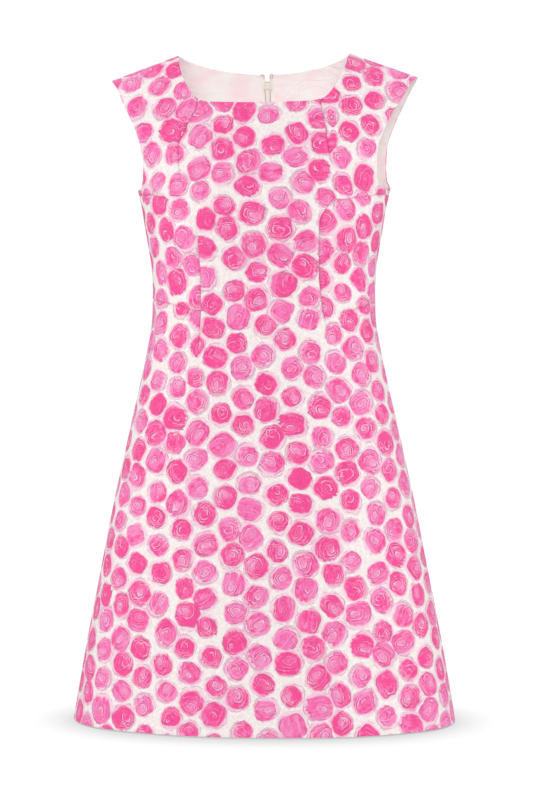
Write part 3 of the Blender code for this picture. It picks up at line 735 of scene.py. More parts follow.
FRONT_FOLDS = [
    # beside the waist darts
    ([(-93, -236), (-89, -290), (-88, -345), (-92, -400)], 1.3, 8),
    ([(92, -236), (89, -290), (91, -340), (97, -372)], 1.4, 8),
    ([(-66, -250), (-65, -310), (-66, -360)], 0.7, 9),
    ([(66, -246), (66, -310), (70, -350)], 0.7, 9),
    # ends of the waist darts
    ([(-83, -224), (-83, -242)], -1.1, 5),
    ([(84, -366), (88, -382)], -0.9, 6),
    ([(-81, -404), (-82, -418)], -0.9, 6),
    # from the right underarm dart into the waist dart
    ([(150, -200), (125, -209), (104, -214), (97, -226)], 1.6, 6.5),
    ([(140, -190), (118, -195), (100, -201), (88, -208)], 1.0, 7),
    ([(-150, -199), (-130, -207), (-113, -213)], 1.4, 6.5),
    ([(-142, -185), (-124, -195), (-108, -200)], 0.9, 7),
    # neck darts
    ([(-79, -92), (-98, -134), (-93, -175)], 0.8, 8),
    ([(-97, -88), (-117, -130), (-109, -178)], 0.9, 7),
    ([(90, -92), (99, -128), (100, -152)], 0.9, 7),
    ([(71, -92), (80, -128), (82, -150)], 0.7, 8),
    ([(92, -152), (95, -168)], -0.9, 6),
    # drag towards the underarms
    ([(-151, -165), (-128, -176), (-96, -182)], 1.1, 9),
    ([(-150, -148), (-134, -160), (-112, -166)], -0.9, 8),
    ([(147, -160), (126, -172), (100, -178)], 1.0, 9),
    ([(146, -140), (132, -152), (112, -158)], -0.8, 8),
    # waist, beside the tucks
    ([(-140, -322), (-112, -331), (-86, -340)], 1.2, 7),
    ([(-140, -348), (-110, -358), (-86, -364)], 1.1, 8),
    ([(140, -326), (120, -334), (98, -341)], 1.2, 7),
    ([(140, -352), (118, -361), (98, -366)], 1.0, 8),
    ([(-60, -318), (-20, -326), (30, -322), (62, -316)], 0.8, 13),
    ([(-58, -346), (-10, -352), (40, -348)], -0.8, 12),
    ([(-138, -292), (-118, -300), (-96, -303)], 0.7, 8),
    ([(136, -284), (120, -296), (98, -302)], 0.7, 8),
]


def skirt_waves(run, z, side_share, seeds):
    """Long soft undulations that grow towards the hem and leave the seams where they are."""
    grow = np.clip((-430 - z) / 430, 0, 1) ** 1.3
    wave = np.zeros_like(run)
    for centre, width, height in seeds:
        wave += height * np.exp(-((run - centre - (z + 893) * centre * -0.0006) / width) ** 2)
    return wave * grow * side_share


def displaced(panel, folds, waves):
    """The panel's soft surface, and the same with its sewn grooves."""
    P, N = panel.P, panel.normal
    x, z = np.nan_to_num(P[..., 0]), np.nan_to_num(P[..., 2])
    soft = fold_field(x, z, folds)
    seam_fade = np.ones(panel.valid.shape)
    across, up = panel.across, panel.up
    if panel.name == "front":
        reach = np.minimum(across - across[:, :1], across[:, -1:] - across)
    else:
        reach = across[:, -1:] - across
    body = np.arange(P.shape[0])[:, None] <= panel.half.top
    seam_fade = np.where(body, np.clip(reach / 14.0, 0, 1), 1.0)
    soft = soft * seam_fade
    mid = panel.mid if panel.name == "front" else 0
    run = across - across[:, mid:mid + 1]
    if panel.name == "back" and not panel.flip:
        run = -run
    soft = soft + skirt_waves(run, z, np.clip(reach / 60.0, 0, 1), waves)
    # line holds painted shade: a thin dark line along each dart, later the meshes' 'seam' attribute
    sharp, inward, line = np.zeros_like(soft), np.zeros_like(soft), np.zeros_like(soft)
    for col, taken in panel.column_darts.items():
        amount = np.clip(taken(z[:, col]) / 6.0, 0, 1) * panel.valid[:, col]
        near = np.abs(across - across[:, col:col + 1])
        sharp += groove(near, amount[:, None])
        line = np.maximum(line, np.exp(-(near / 0.9) ** 2) * amount[:, None])
        inward = np.maximum(inward, lump(near, amount[:, None]))
    for row, taken in panel.row_darts.items():
        amount = np.clip(taken(x[row]) / 6.0, 0, 1)
        near = np.abs(up - up[row:row + 1]) + np.where(body, 0, 1e3)
        sharp += groove(near, amount[None, :])
        line = np.maximum(line, np.exp(-(near / 0.9) ** 2) * amount[None, :])
        inward = np.maximum(inward, lump(near, amount[None, :]))
    # the cloth turns in at the sewn side, shoulder and centre-back seams
    turn = np.where(body, np.exp(-reach / 1.3) * -0.7, 0.0)
    if panel.name == "back":
        turn = turn - 0.7 * np.exp(-(across - across[:, :1]) / 1.1)
        turn = turn + 0.25 * np.exp(-((across - across[:, :1] - 4.0) / 2.5) ** 2)
    last = up[-1:] - up
    turn = turn + np.where(panel.valid[-1:], -0.6 * np.exp(-last / 1.2), 0.0)
    # hem: a faint ridge where the turned-up edge ends inside
    rise = up - up[:1]
    turn = turn + 0.22 * np.exp(-((rise - 35.0) / 2.2) ** 2) * body
    S = P + N * soft[..., None]
    O = S + N * (sharp + turn)[..., None]
    panel.inward = inward[..., None]
    # painted shade: the dart lines, and a dark line along the side seams
    panel.line = np.maximum(line, np.where(body, 0.9 * np.exp(-(reach / 0.8) ** 2), 0.0))
    return S, O


front = front_panel()
backs = {-1: back_panel(-1), 1: back_panel(1)}
front.cut_at, backs[-1].cut_at, backs[1].cut_at = np.array((0.0, 0.0)), np.array((1430.0, 617.0)), np.array((-1290.0, -433.0))

BACK_FOLDS = [
    ([(88, -215), (85, -270), (84, -330), (88, -400)], 1.2, 8),
    ([(66, -230), (64, -300), (66, -370)], 0.8, 9),
    ([(78, -188), (78, -204)], -0.9, 6),
    ([(78, -432), (79, -450)], -0.9, 6),
    ([(150, -170), (120, -192), (84, -205)], 0.9, 11),
    ([(146, -200), (120, -215), (96, -222)], -0.7, 9),
    ([(136, -300), (108, -312), (86, -316)], 1.1, 9),
    ([(136, -334), (104, -340), (84, -342)], 1.2, 9),
    ([(60, -308), (36, -314), (16, -312)], 1.0, 9),
    ([(60, -338), (34, -345), (14, -346)], 1.1, 10),
    ([(62, -366), (36, -374), (16, -376)], 0.9, 10),
    ([(40, -60), (70, -90), (110, -104)], 0.8, 14),
]
FRONT_WAVES = [(-232, 40, 2.6), (-150, 36, -2.4), (-70, 44, 2.0), (20, 48, -1.8), (104, 40, 2.4), (182, 38, -2.2),
               (255, 36, 2.0)]
BACK_WAVES = {1: [(48, 38, 2.2), (128, 40, -2.4), (214, 42, 2.6)], -1: [(-56, 42, -2.0), (-138, 38, 2.5), (-226, 40, -2.2)]}

front.soft, front.outer = displaced(front, FRONT_FOLDS, FRONT_WAVES)
for side, panel in backs.items():
    folds = [([(side * x, z) for x, z in pts], h * (1.0 if side > 0 else 0.85), w) for pts, h, w in BACK_FOLDS]
    panel.soft, panel.outer = displaced(panel, folds, BACK_WAVES[side])
for panel in (front, backs[-1], backs[1]):
    panel.soft_normal = panel.normals(panel.soft)


# ================================================================ materials
def srgb(r, g, b):
    return tuple((c / 255 / 12.92) if c / 255 <= 0.04045 else ((c / 255 + 0.055) / 1.055) ** 2.4 for c in (r, g, b)) + (1.0,)


class Nodes:
    """Short names for shader nodes. Arguments are sockets or numbers."""

    def __init__(self, tree):
        self.tree = tree

    def put(self, socket, value):
        if isinstance(value, bpy.types.NodeSocket):
            self.tree.links.new(value, socket)
        elif value is not None:
            socket.default_value = value

    def math(self, op, a, b=None, c=None, clamp=False):
        n = self.tree.nodes.new("ShaderNodeMath")
        n.operation, n.use_clamp = op, clamp
        for k, v in enumerate((a, b, c)):
            self.put(n.inputs[k], v)
        return n.outputs[0]

    def vector(self, op, a, b=None, scale=None):
        n = self.tree.nodes.new("ShaderNodeVectorMath")
        n.operation = op
        self.put(n.inputs[0], a)
        self.put(n.inputs[1], b)
        if scale is not None:
            self.put(n.inputs["Scale"], scale)
        return n.outputs["Value"] if op in ("LENGTH", "DOT_PRODUCT", "DISTANCE") else n.outputs["Vector"]

    def split(self, v):
        n = self.tree.nodes.new("ShaderNodeSeparateXYZ")
        self.put(n.inputs[0], v)
        return n.outputs

    def join(self, x, y, z=0.0):
        n = self.tree.nodes.new("ShaderNodeCombineXYZ")
        for k, v in enumerate((x, y, z)):
            self.put(n.inputs[k], v)
        return n.outputs[0]

    def noise(self, v, scale, detail=2.0, rough=0.5, dims="3D", distortion=0.0):
        n = self.tree.nodes.new("ShaderNodeTexNoise")
        n.noise_dimensions = dims
        self.put(n.inputs["Vector"], v)
        n.inputs["Scale"].default_value = scale
        n.inputs["Detail"].default_value = detail
        n.inputs["Roughness"].default_value = rough
        n.inputs["Distortion"].default_value = distortion
        return n

    def white(self, v):
        n = self.tree.nodes.new("ShaderNodeTexWhiteNoise")
        n.noise_dimensions = "3D"
        self.put(n.inputs["Vector"], v)
        return n

    def step(self, low, high, v):
        """0 below low, 1 above high, smooth between (low may be above high)."""
        n = self.tree.nodes.new("ShaderNodeMapRange")
        n.interpolation_type = "SMOOTHSTEP"
        flip = low > high
        a, b = (high, low) if flip else (low, high)
        self.put(n.inputs["Value"], v)
        n.inputs["From Min"].default_value, n.inputs["From Max"].default_value = a, b
        n.inputs["To Min"].default_value, n.inputs["To Max"].default_value = (1, 0) if flip else (0, 1)
        return n.outputs[0]

    def mix(self, factor, a, b):
        n = self.tree.nodes.new("ShaderNodeMix")
        n.data_type = "RGBA"
        self.put(n.inputs[0], factor)
        self.put(n.inputs[6], a)
        self.put(n.inputs[7], b)
        return n.outputs[2]

    def choose(self, factor, a, b):
        n = self.tree.nodes.new("ShaderNodeMix")
        n.data_type = "VECTOR"
        self.put(n.inputs[0], factor)
        self.put(n.inputs[4], a)
        self.put(n.inputs[5], b)
        return n.outputs[1]

    def uv(self, name):
        n = self.tree.nodes.new("ShaderNodeUVMap")
        n.uv_map = name
        return n.outputs[0]


def new_material(name, roughness):
    m = bpy.data.materials.new(name)
    m.use_nodes = True
    p = m.node_tree.nodes["Principled BSDF"]
    p.inputs["Roughness"].default_value = roughness
    return m, Nodes(m.node_tree), p


PITCH = 37.0        # mm from one painted rose to the next


def rose_print(k, turn):
    """Colour of a painted rose-dot print at the flat cloth's place, in mm. The roses stand in loose
    diagonal rows, each with its own size, turn, tone and brush strokes. Painted shade darkens it along the darts and
    seams."""
    flat = k.vector("SCALE", k.uv("print"), scale=1000.0)
    drift = k.vector("SUBTRACT", k.noise(k.vector("ADD", flat, (913.0, 377.0, 0.0)), 1 / 95.0, 1.0).outputs["Color"], (0.5, 0.5, 0.5))
    place = k.vector("ADD", flat, k.vector("SCALE", drift, scale=11.0))
    rot = k.tree.nodes.new("ShaderNodeVectorRotate")
    rot.rotation_type = "Z_AXIS"
    rot.inputs["Angle"].default_value = turn
    k.put(rot.inputs["Vector"], place)
    px, py, _ = k.split(rot.outputs[0])

    high = PITCH * math.sqrt(3)
    best_d = best_q = best_s = None
    for m, (ox, oy) in enumerate(((0, 0), (PITCH, 0), (PITCH / 2, high / 2), (PITCH * 1.5, high / 2))):
        x, y = k.math("SUBTRACT", px, ox), k.math("SUBTRACT", py, oy)
        row = k.math("FLOOR", k.math("DIVIDE", y, high))
        odd = k.math("FLOORED_MODULO", row, 2.0)
        xs = k.math("SUBTRACT", x, k.math("MULTIPLY", odd, PITCH))
        col = k.math("FLOOR", k.math("DIVIDE", xs, 2 * PITCH))
        qx = k.math("SUBTRACT", xs, k.math("MULTIPLY", k.math("ADD", col, 0.5), 2 * PITCH))
        qy = k.math("SUBTRACT", y, k.math("MULTIPLY", k.math("ADD", row, 0.5), high))
        seed = k.white(k.join(k.math("ADD", col, 17.0 * m + 5.0), row, 3.7 * m)).outputs["Color"]
        r, g, b = k.split(seed)
        jx = k.math("MULTIPLY", k.math("SUBTRACT", r, 0.5), 8.0)
        jy = k.math("MULTIPLY", k.math("SUBTRACT", g, 0.5), 8.0)
        qx, qy = k.math("SUBTRACT", qx, jx), k.math("SUBTRACT", qy, jy)
        size = k.math("MULTIPLY_ADD", b, 3.1, 13.1)
        q = k.join(k.math("DIVIDE", qx, size), k.math("DIVIDE", qy, size), 0.0)
        d = k.vector("LENGTH", q)
        if best_d is None:
            best_d, best_q, best_s = d, q, seed
        else:
            nearer = k.math("LESS_THAN", d, best_d)
            best_q = k.choose(nearer, best_q, q)
            best_s = k.choose(nearer, best_s, seed)
            best_d = k.math("MINIMUM", best_d, d)

    more = k.white(k.vector("SCALE", best_s, scale=57.0)).outputs["Color"]
    extra = k.white(k.vector("SCALE", best_s, scale=131.0)).outputs["Color"]
    a1, a2, a3 = k.split(more)
    e1, e2, e3 = k.split(extra)
    spin = k.tree.nodes.new("ShaderNodeVectorRotate")
    spin.rotation_type = "Z_AXIS"
    k.put(spin.inputs["Vector"], best_q)
    k.put(spin.inputs["Angle"], k.math("MULTIPLY", a1, math.tau))
    u = k.vector("MULTIPLY", spin.outputs[0], k.join(k.math("MULTIPLY_ADD", a2, 0.24, 0.88), 1.0, 1.0))
    own = k.vector("ADD", u, k.vector("SCALE", best_s, scale=40.0))      # each rose has its own brushwork
    wobble = k.vector("SUBTRACT", k.noise(own, 1.25, 2.0, 0.55).outputs["Color"], (0.5, 0.5, 0.5))
    w = k.vector("ADD", u, k.vector("SCALE", wobble, scale=0.42))
    wx, wy, _ = k.split(w)
    r = k.math("POWER", k.math("ADD", k.math("POWER", k.math("ABSOLUTE", wx), 2.6), k.math("POWER", k.math("ABSOLUTE", wy), 2.6)), 1 / 2.6)
    hairs = k.noise(k.vector("MULTIPLY", own, (0.8, 4.6, 1.0)), 1.0, 1.0, 0.45).outputs["Fac"]     # brush hairs, one way in each rose
    dry = k.math("MULTIPLY", k.step(-0.2, 0.8, wx), k.step(0.25, 0.6, e2))                        # the side where the brush ran dry
    r = k.math("MULTIPLY_ADD", k.math("MULTIPLY", k.math("SUBTRACT", hairs, 0.47), 0.55), dry, r)
    body = k.step(1.08, 0.85, r)

    # heart of the rose, off its centre
    hx = k.math("SUBTRACT", wx, k.math("MULTIPLY", k.math("SUBTRACT", e1, 0.5), 0.6))
    hy = k.math("SUBTRACT", wy, k.math("MULTIPLY", k.math("SUBTRACT", e2, 0.5), 0.6))
    hr = k.math("SQRT", k.math("ADD", k.math("MULTIPLY", hx, hx), k.math("MULTIPLY", k.math("MULTIPLY", hy, hy), 2.1)))
    ha = k.math("DIVIDE", k.math("ARCTAN2", hy, hx), math.tau)
    fine = k.noise(own, 3.1, 2.0, 0.5).outputs["Fac"]

    # washes: full pink, a paler wash round the heart, and blotches
    wash = k.noise(own, 1.9, 3.0, 0.6).outputs["Fac"]
    kind = k.math("MULTIPLY", k.math("SUBTRACT", a3, 0.5), 0.34)
    pale = k.step(0.44, 0.70, k.math("ADD", wash, kind))
    heart = k.math("MULTIPLY", k.step(0.78, 0.10, k.math("ADD", hr, k.math("MULTIPLY", k.math("SUBTRACT", wash, 0.5), 1.2))),
                   k.step(0.30, 0.75, k.math("ADD", e3, kind)))
    pink = k.mix(pale, srgb(251, 78, 152), srgb(252, 118, 185))
    deep = k.step(0.58, 0.72, k.noise(k.vector("ADD", own, (7.0, 3.0, 0.0)), 2.1, 2.0, 0.5).outputs["Fac"])
    pink = k.mix(k.math("MULTIPLY", deep, 0.7), pink, srgb(232, 66, 134))
    pink = k.mix(k.math("MULTIPLY", heart, 0.8), pink, srgb(250, 172, 215))

    worn = k.math("MULTIPLY", k.step(0.48, 0.66, hairs), k.step(0.38, 0.68, k.math("ADD", wash, kind)))
    pink = k.mix(k.math("MULTIPLY", worn, 0.55), pink, srgb(253, 170, 212))
    light_side = k.math("MULTIPLY", k.step(0.15, 1.0, k.math("ADD", wy, k.math("MULTIPLY", k.math("SUBTRACT", hairs, 0.5), 0.9))),
                        k.step(0.35, 0.6, a3))
    pink = k.mix(k.math("MULTIPLY", light_side, 0.75), pink, srgb(251, 158, 208))

    # brush lines round the heart: light ones with a dark one beside each
    phase = k.math("ADD", k.math("MULTIPLY", hr, k.math("MULTIPLY_ADD", e3, 1.0, 2.3)), k.math("MULTIPLY", k.math("SUBTRACT", fine, 0.5), 1.5))
    phase = k.math("ADD", phase, ha)
    turn_in = k.math("SUBTRACT", k.math("FRACT", phase), 0.5)
    light_line = k.step(0.20, 0.05, k.math("ABSOLUTE", turn_in))
    dark_line = k.step(0.13, 0.03, k.math("ABSOLUTE", k.math("SUBTRACT", turn_in, 0.25)))
    patch = k.step(0.42, 0.60, k.math("ADD", k.noise(k.vector("ADD", own, (2.0, 9.0, 4.0)), 1.3, 1.0, 0.5).outputs["Fac"],
                                      k.math("MULTIPLY", heart, 0.12)))
    inside = k.step(1.04, 0.86, r)
    busy = k.math("MULTIPLY_ADD", k.step(0.25, 0.7, e3), 0.6, 0.4)
    lines = k.math("MULTIPLY", k.math("MULTIPLY", patch, inside), busy)
    pink = k.mix(k.math("MULTIPLY", dark_line, k.math("MULTIPLY", lines, 0.55)), pink, srgb(192, 58, 126))
    pink = k.mix(k.math("MULTIPLY", light_line, k.math("MULTIPLY", lines, 0.62)), pink, srgb(251, 186, 220))

    # fine rings left by the hairs of the brush
    rings = k.math("FRACT", k.math("ADD", k.math("MULTIPLY", r, 3.6), k.math("MULTIPLY_ADD", wash, 1.6, e1)))
    rings = k.step(0.26, 0.06, k.math("ABSOLUTE", k.math("SUBTRACT", rings, 0.5)))
    some = k.step(0.36, 0.56, k.noise(k.vector("ADD", own, (4.0, 4.0, 1.0)), 1.5, 1.0, 0.5).outputs["Fac"])
    pink = k.mix(k.math("MULTIPLY", k.math("MULTIPLY", rings, some), 0.24), pink, srgb(212, 56, 136))

    # a few short pale strokes with a dark edge
    for which, (radius, spread, reach) in enumerate(((0.30, 0.055, 0.1), (0.58, 0.045, 0.4), (0.80, 0.035, 0.5))):
        start = k.math("MULTIPLY", (e1, a3, a2)[which], math.tau * 3)
        swing = k.math("COSINE", k.math("SUBTRACT", k.math("MULTIPLY", ha, math.tau), start))
        off = k.math("SUBTRACT", hr, k.math("ADD", radius, k.math("MULTIPLY", k.math("SUBTRACT", fine, 0.5), 0.3)))
        here = k.math("MULTIPLY", k.step(reach, reach + 0.35, swing), k.step(0.2, 0.45, (e2, a2, e1)[which]))
        arc = k.math("MULTIPLY", k.step(spread * 1.6, spread * 0.5, k.math("ABSOLUTE", off)), here)
        pink = k.mix(k.math("MULTIPLY", arc, 0.7), pink, srgb(254, 210, 232))
        edge = k.step(0.055, 0.015, k.math("ABSOLUTE", k.math("SUBTRACT", off, spread + 0.06)))
        pink = k.mix(k.math("MULTIPLY", k.math("MULTIPLY", edge, here), 0.7), pink, srgb(184, 62, 128))

    # ground, a pale halo on one side of each rose and a thin brush line round part of it
    da, db = k.vector("DOT_PRODUCT", flat, (0.7071, 0.7071, 0.0)), k.vector("DOT_PRODUCT", flat, (0.7071, -0.7071, 0.0))
    slub = k.noise(k.join(k.math("MULTIPLY", da, 0.52), k.math("MULTIPLY", db, 0.15), 0.0), 1.0, 1.0, 0.5).outputs["Fac"]
    slub2 = k.noise(k.join(k.math("MULTIPLY", da, 0.15), k.math("MULTIPLY", db, 0.52), 9.0), 1.0, 1.0, 0.5).outputs["Fac"]
    tone = k.step(0.34, 0.66, k.math("MULTIPLY", k.math("ADD", slub, slub2), 0.5))
    ground = k.mix(tone, srgb(244, 230, 228), srgb(254, 249, 248))
    fleck = k.step(0.52, 0.68, k.noise(flat, 0.17, 2.0, 0.6).outputs["Fac"])      # creamier where the yarn is thick
    ground = k.mix(k.math("MULTIPLY", fleck, 0.6), ground, srgb(249, 238, 229))
    ox = k.math("SUBTRACT", wx, k.math("MULTIPLY", k.math("SUBTRACT", a3, 0.5), 0.34))
    oy = k.math("SUBTRACT", wy, k.math("MULTIPLY", k.math("SUBTRACT", e1, 0.5), 0.34))
    halo_r = k.math("SQRT", k.math("ADD", k.math("MULTIPLY", ox, ox), k.math("MULTIPLY", oy, oy)))
    halo_r = k.math("ADD", halo_r, k.math("MULTIPLY", k.math("SUBTRACT", fine, 0.5), 0.16))
    halo = k.step(1.36, 1.05, halo_r)
    streak = k.math("FRACT", k.math("ADD", k.math("MULTIPLY", halo_r, 7.0), k.math("MULTIPLY", fine, 3.0)))
    streak = k.math("MULTIPLY_ADD", k.math("MULTIPLY", k.step(0.05, 0.3, streak), k.step(0.95, 0.65, streak)), 0.55, 0.45)
    tint = k.math("MULTIPLY", k.math("MULTIPLY", halo, streak), k.math("MULTIPLY_ADD", e2, 0.35, 0.40))
    base = k.mix(tint, ground, srgb(248, 168, 210))
    one_side = k.math("DIVIDE", wx, k.math("MAXIMUM", halo_r, 0.2))
    ripple = k.math("ABSOLUTE", k.math("SUBTRACT", k.math("FRACT", k.math("MULTIPLY_ADD", halo_r, 4.4, k.math("MULTIPLY", fine, 1.5))), 0.5))
    swept = k.math("MULTIPLY", k.step(0.26, 0.08, ripple), k.math("MULTIPLY", k.step(0.05, 0.6, one_side), k.step(0.40, 0.62, halo_r)))
    swept = k.math("MULTIPLY", swept, k.step(0.25, 0.6, a2))
    pink = k.mix(k.math("MULTIPLY", swept, 0.55), pink, srgb(253, 200, 226))       # bare streaks where the brush turned
    for at, thin, start, where in ((1.06, 0.042, 0.25, (5.0, 1.0, 8.0)), (1.15, 0.036, 0.45, (3.0, 4.0, 1.0)), (1.25, 0.034, 0.60, (8.0, 2.0, 6.0))):
        round_line = k.step(thin, thin * 0.35, k.math("ABSOLUTE", k.math("SUBTRACT", halo_r, at)))
        part = k.step(0.52, 0.62, k.noise(k.vector("ADD", own, where), 0.9, 1.0, 0.5).outputs["Fac"])
        part = k.math("MAXIMUM", part, k.math("MULTIPLY", k.step(start, start + 0.3, one_side), k.step(0.25, 0.5, a2)))
        base = k.mix(k.math("MULTIPLY", k.math("MULTIPLY", round_line, part), 0.66), base, srgb(196, 88, 150))
    rim = k.math("MULTIPLY", k.step(0.065, 0.02, k.math("ABSOLUTE", k.math("SUBTRACT", r, 0.93))),
                 k.step(0.5, 0.6, k.noise(k.vector("ADD", own, (1.0, 6.0, 2.0)), 0.9, 1.0, 0.5).outputs["Fac"]))
    colour = k.mix(body, base, pink)
    colour = k.mix(k.math("MULTIPLY", rim, 0.6), colour, srgb(190, 60, 130))
    colour = k.mix(k.math("MULTIPLY_ADD", tone, -0.05, 0.05), colour, srgb(210, 150, 178))
    # painted shade along the darts and seams: the 'seam' attribute multiplies the colour towards a dull dark pink
    seam = k.tree.nodes.new("ShaderNodeAttribute")
    seam.attribute_name = "seam"
    painted_seam_shade = k.tree.nodes.new("ShaderNodeMix")
    painted_seam_shade.data_type, painted_seam_shade.blend_type = "RGBA", "MULTIPLY"
    k.put(painted_seam_shade.inputs[0], seam.outputs["Fac"])
    k.put(painted_seam_shade.inputs[6], colour)
    painted_seam_shade.inputs[7].default_value = (0.78, 0.62, 0.66, 1.0)
    return painted_seam_shade.outputs[2], flat


def weave(k, flat, pitch, depth):
    """Bump of a plain weave, from the flat cloth's place in mm."""
    x, y, _ = k.split(k.vector("SCALE", flat, scale=math.tau / pitch))
    height = k.math("MULTIPLY", k.math("SINE", x), k.math("SINE", y))
    slub = k.noise(flat, 0.35, 3.0, 0.6).outputs["Fac"]
    n = k.tree.nodes.new("ShaderNodeBump")
    n.inputs["Strength"].default_value = depth
    n.inputs["Distance"].default_value = 0.0002
    k.put(n.inputs["Height"], k.math("ADD", height, k.math("MULTIPLY", slub, 2.0)))
    return n.outputs[0]


def cloth_finish(p, sheen):
    p.inputs["Sheen Weight"].default_value = sheen
    p.inputs["Sheen Roughness"].default_value = 0.45
    p.inputs["Specular IOR Level"].default_value = 0.28


def printed(name, turn, faded=False):
    m, k, p = new_material(name, 0.86)
    colour, flat = rose_print(k, turn)
    if faded:
        colour = k.mix(0.78, colour, srgb(250, 244, 240))
    k.put(p.inputs["Base Color"], colour)
    k.put(p.inputs["Normal"], weave(k, flat, 0.9, 0.25))
    cloth_finish(p, 0.12)
    return m


print_right = printed("printed_cotton", 0.44)
print_wrong = printed("printed_cotton_wrong_side", 0.44, faded=True)


def plain_cloth(name, low, high, pitch, mottle=60.0, creased=0.0):
    m, k, p = new_material(name, 0.82)
    flat = k.vector("SCALE", k.uv("print"), scale=1000.0)
    tone = k.noise(flat, 1 / mottle, 3.0, 0.55).outputs["Fac"]
    k.put(p.inputs["Base Color"], k.mix(k.step(0.35, 0.65, tone), low, high))
    normal = weave(k, flat, pitch, 0.22)
    if creased:                                            # long shallow creases, most of them level
        slanted = k.vector("ADD", flat, k.vector("SCALE", k.noise(flat, 1 / 90, 1.0, 0.5).outputs["Color"], scale=24.0))
        crease = k.noise(k.vector("MULTIPLY", slanted, (1 / 55, 1 / 13, 1.0)), 1.0, 1.0, 0.5).outputs["Fac"]
        bump = k.tree.nodes.new("ShaderNodeBump")
        bump.inputs["Strength"].default_value = 1.0
        bump.inputs["Distance"].default_value = creased
        k.put(bump.inputs["Height"], crease)
        k.put(bump.inputs["Normal"], normal)
        normal = bump.outputs[0]
    k.put(p.inputs["Normal"], normal)
    cloth_finish(p, 0.15)
    return m


facing_cloth = plain_cloth("facing_cotton", srgb(251, 232, 234), srgb(249, 246, 243), 0.7, 38.0, 0.0028)


# ================================================================ cloth pieces
def wall(panel, depth_out, depth_in, sharp=False):
    base = panel.outer if sharp else panel.soft - panel.soft_normal * panel.inward
    return base - panel.soft_normal * depth_out, panel.soft - panel.soft_normal * (depth_in + panel.inward)


pieces = {}
for name, panel in (("front", front), ("back_left", backs[-1]), ("back_right", backs[1])):
    outer, inner = wall(panel, 0.0, CLOTH, sharp=True)
    ob = shell(name + "_panel", panel, outer, inner, [print_right, print_wrong])
    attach(ob, "dress")
    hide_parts(name)
    pieces[name] = ob
    first = int(np.argmax(panel.rows >= FACING_BOTTOM))
    outer, inner = wall(panel, INSET, INSET + FACING)
    start = 0 if panel is front else int(np.argmin(np.abs(panel.cols - PLACKET)))
    low = shell("facing_" + name + "_cloth", panel, outer, inner, [facing_cloth, facing_cloth], first_row=first, first_col=start)
    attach(low, "dress")
    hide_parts("facing_" + name)
    cells = panel.cells.copy()
    cells[:first], cells[:, :start] = False, False
    top = int(np.argmin(np.abs(panel.rows + 858.0)))
    outer, inner = wall(panel, INSET, INSET + 0.9)
    hem = shell("hem_turned_up_" + name, panel, outer, inner, [print_wrong, print_right], first_row=1, last_row=top)
    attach(hem, "dress")
    cells = panel.cells.copy()
    cells[:1], cells[top:] = False, False


# ================================================================ zip
def back_line(z):
    """Point and normal of the centre-back line at a level, in mm."""
    z = np.asarray(z, float)
    y = depth_over("back", np.full_like(z, 2.5), z)
    dy = (depth_over("back", np.full_like(z, 2.5), z + 1.0) - depth_over("back", np.full_like(z, 2.5), z - 1.0)) / 2
    n = np.stack([np.zeros_like(z), np.ones_like(z), -dy], axis=-1)
    return y, n / np.linalg.norm(n, axis=-1, keepdims=True)


tape_cloth = plain_cloth("zip_tape_twill", srgb(244, 238, 230), srgb(249, 244, 238), 0.8, 30.0)


def strip_grid(z, xs, depth):
    """Grid of points across the back's centre line, moved in by a depth."""
    y, n = back_line(z)
    xs = np.broadcast_to(xs, (len(z), len(xs[0]) if np.ndim(xs) == 2 else len(xs)))
    P = np.empty(xs.shape + (3,))
    P[..., 0] = xs
    P[..., 1] = (y - depth * n[:, 1])[:, None]
    P[..., 2] = (z - depth * n[:, 2])[:, None]
    return P


def closed_strip(name, outer, inner, material, uv_scale=1.0):
    """Box-like wall between two grids of points."""
    R, C = outer.shape[:2]
    verts = np.concatenate([outer.reshape(-1, 3), inner.reshape(-1, 3)])
    faces, uvs, bakes = [], [], []
    at = lambda i, j, k: i * C + j + k * R * C
    ru = np.concatenate([[0], np.cumsum(np.linalg.norm(np.diff(outer[0], axis=0), axis=1))])
    rv = np.concatenate([[0], np.cumsum(np.linalg.norm(np.diff(outer[:, 0], axis=0), axis=1))])

    def add(ids, pts, part):
        faces.append(ids)
        uvs.append([(ru[j], rv[i]) for i, j in pts])
        bakes.append([(0.01 + (part + j / max(C - 1, 1)) * 0.48, 0.01 + 0.98 * rv[i] / rv[-1]) for i, j in pts])

    for i in range(R - 1):
        for j in range(C - 1):
            pts = [(i, j), (i, j + 1), (i + 1, j + 1), (i + 1, j)]
            add([at(a, b, 0) for a, b in pts], pts, 0)
            add([at(a, b, 1) for a, b in pts[::-1]], pts[::-1], 1)
    for i in range(R - 1):
        for j in (0, C - 1):
            add([at(i, j, 0), at(i + 1, j, 0), at(i + 1, j, 1), at(i, j, 1)], [(i, j), (i + 1, j), (i + 1, j), (i, j)], 0)
    for j in range(C - 1):
        for i in (0, R - 1):
            add([at(i, j, 0), at(i, j + 1, 0), at(i, j + 1, 1), at(i, j, 1)], [(i, j), (i, j + 1), (i, j + 1), (i, j)], 0)
    ob = mesh_from(name, verts, faces, [material], None,
                   {"print": np.array(uvs).reshape(-1, 2) * MM, "OFBake": np.array(bakes).reshape(-1, 2)}, smooth=False)
    tidy(ob)
    return ob


def tidy(ob):
    """Makes every face of a closed mesh look outwards."""
    import bmesh
    bm = bmesh.new()
    bm.from_mesh(ob.data)
    bmesh.ops.recalc_face_normals(bm, faces=bm.faces)
    bm.to_mesh(ob.data)
    bm.free()


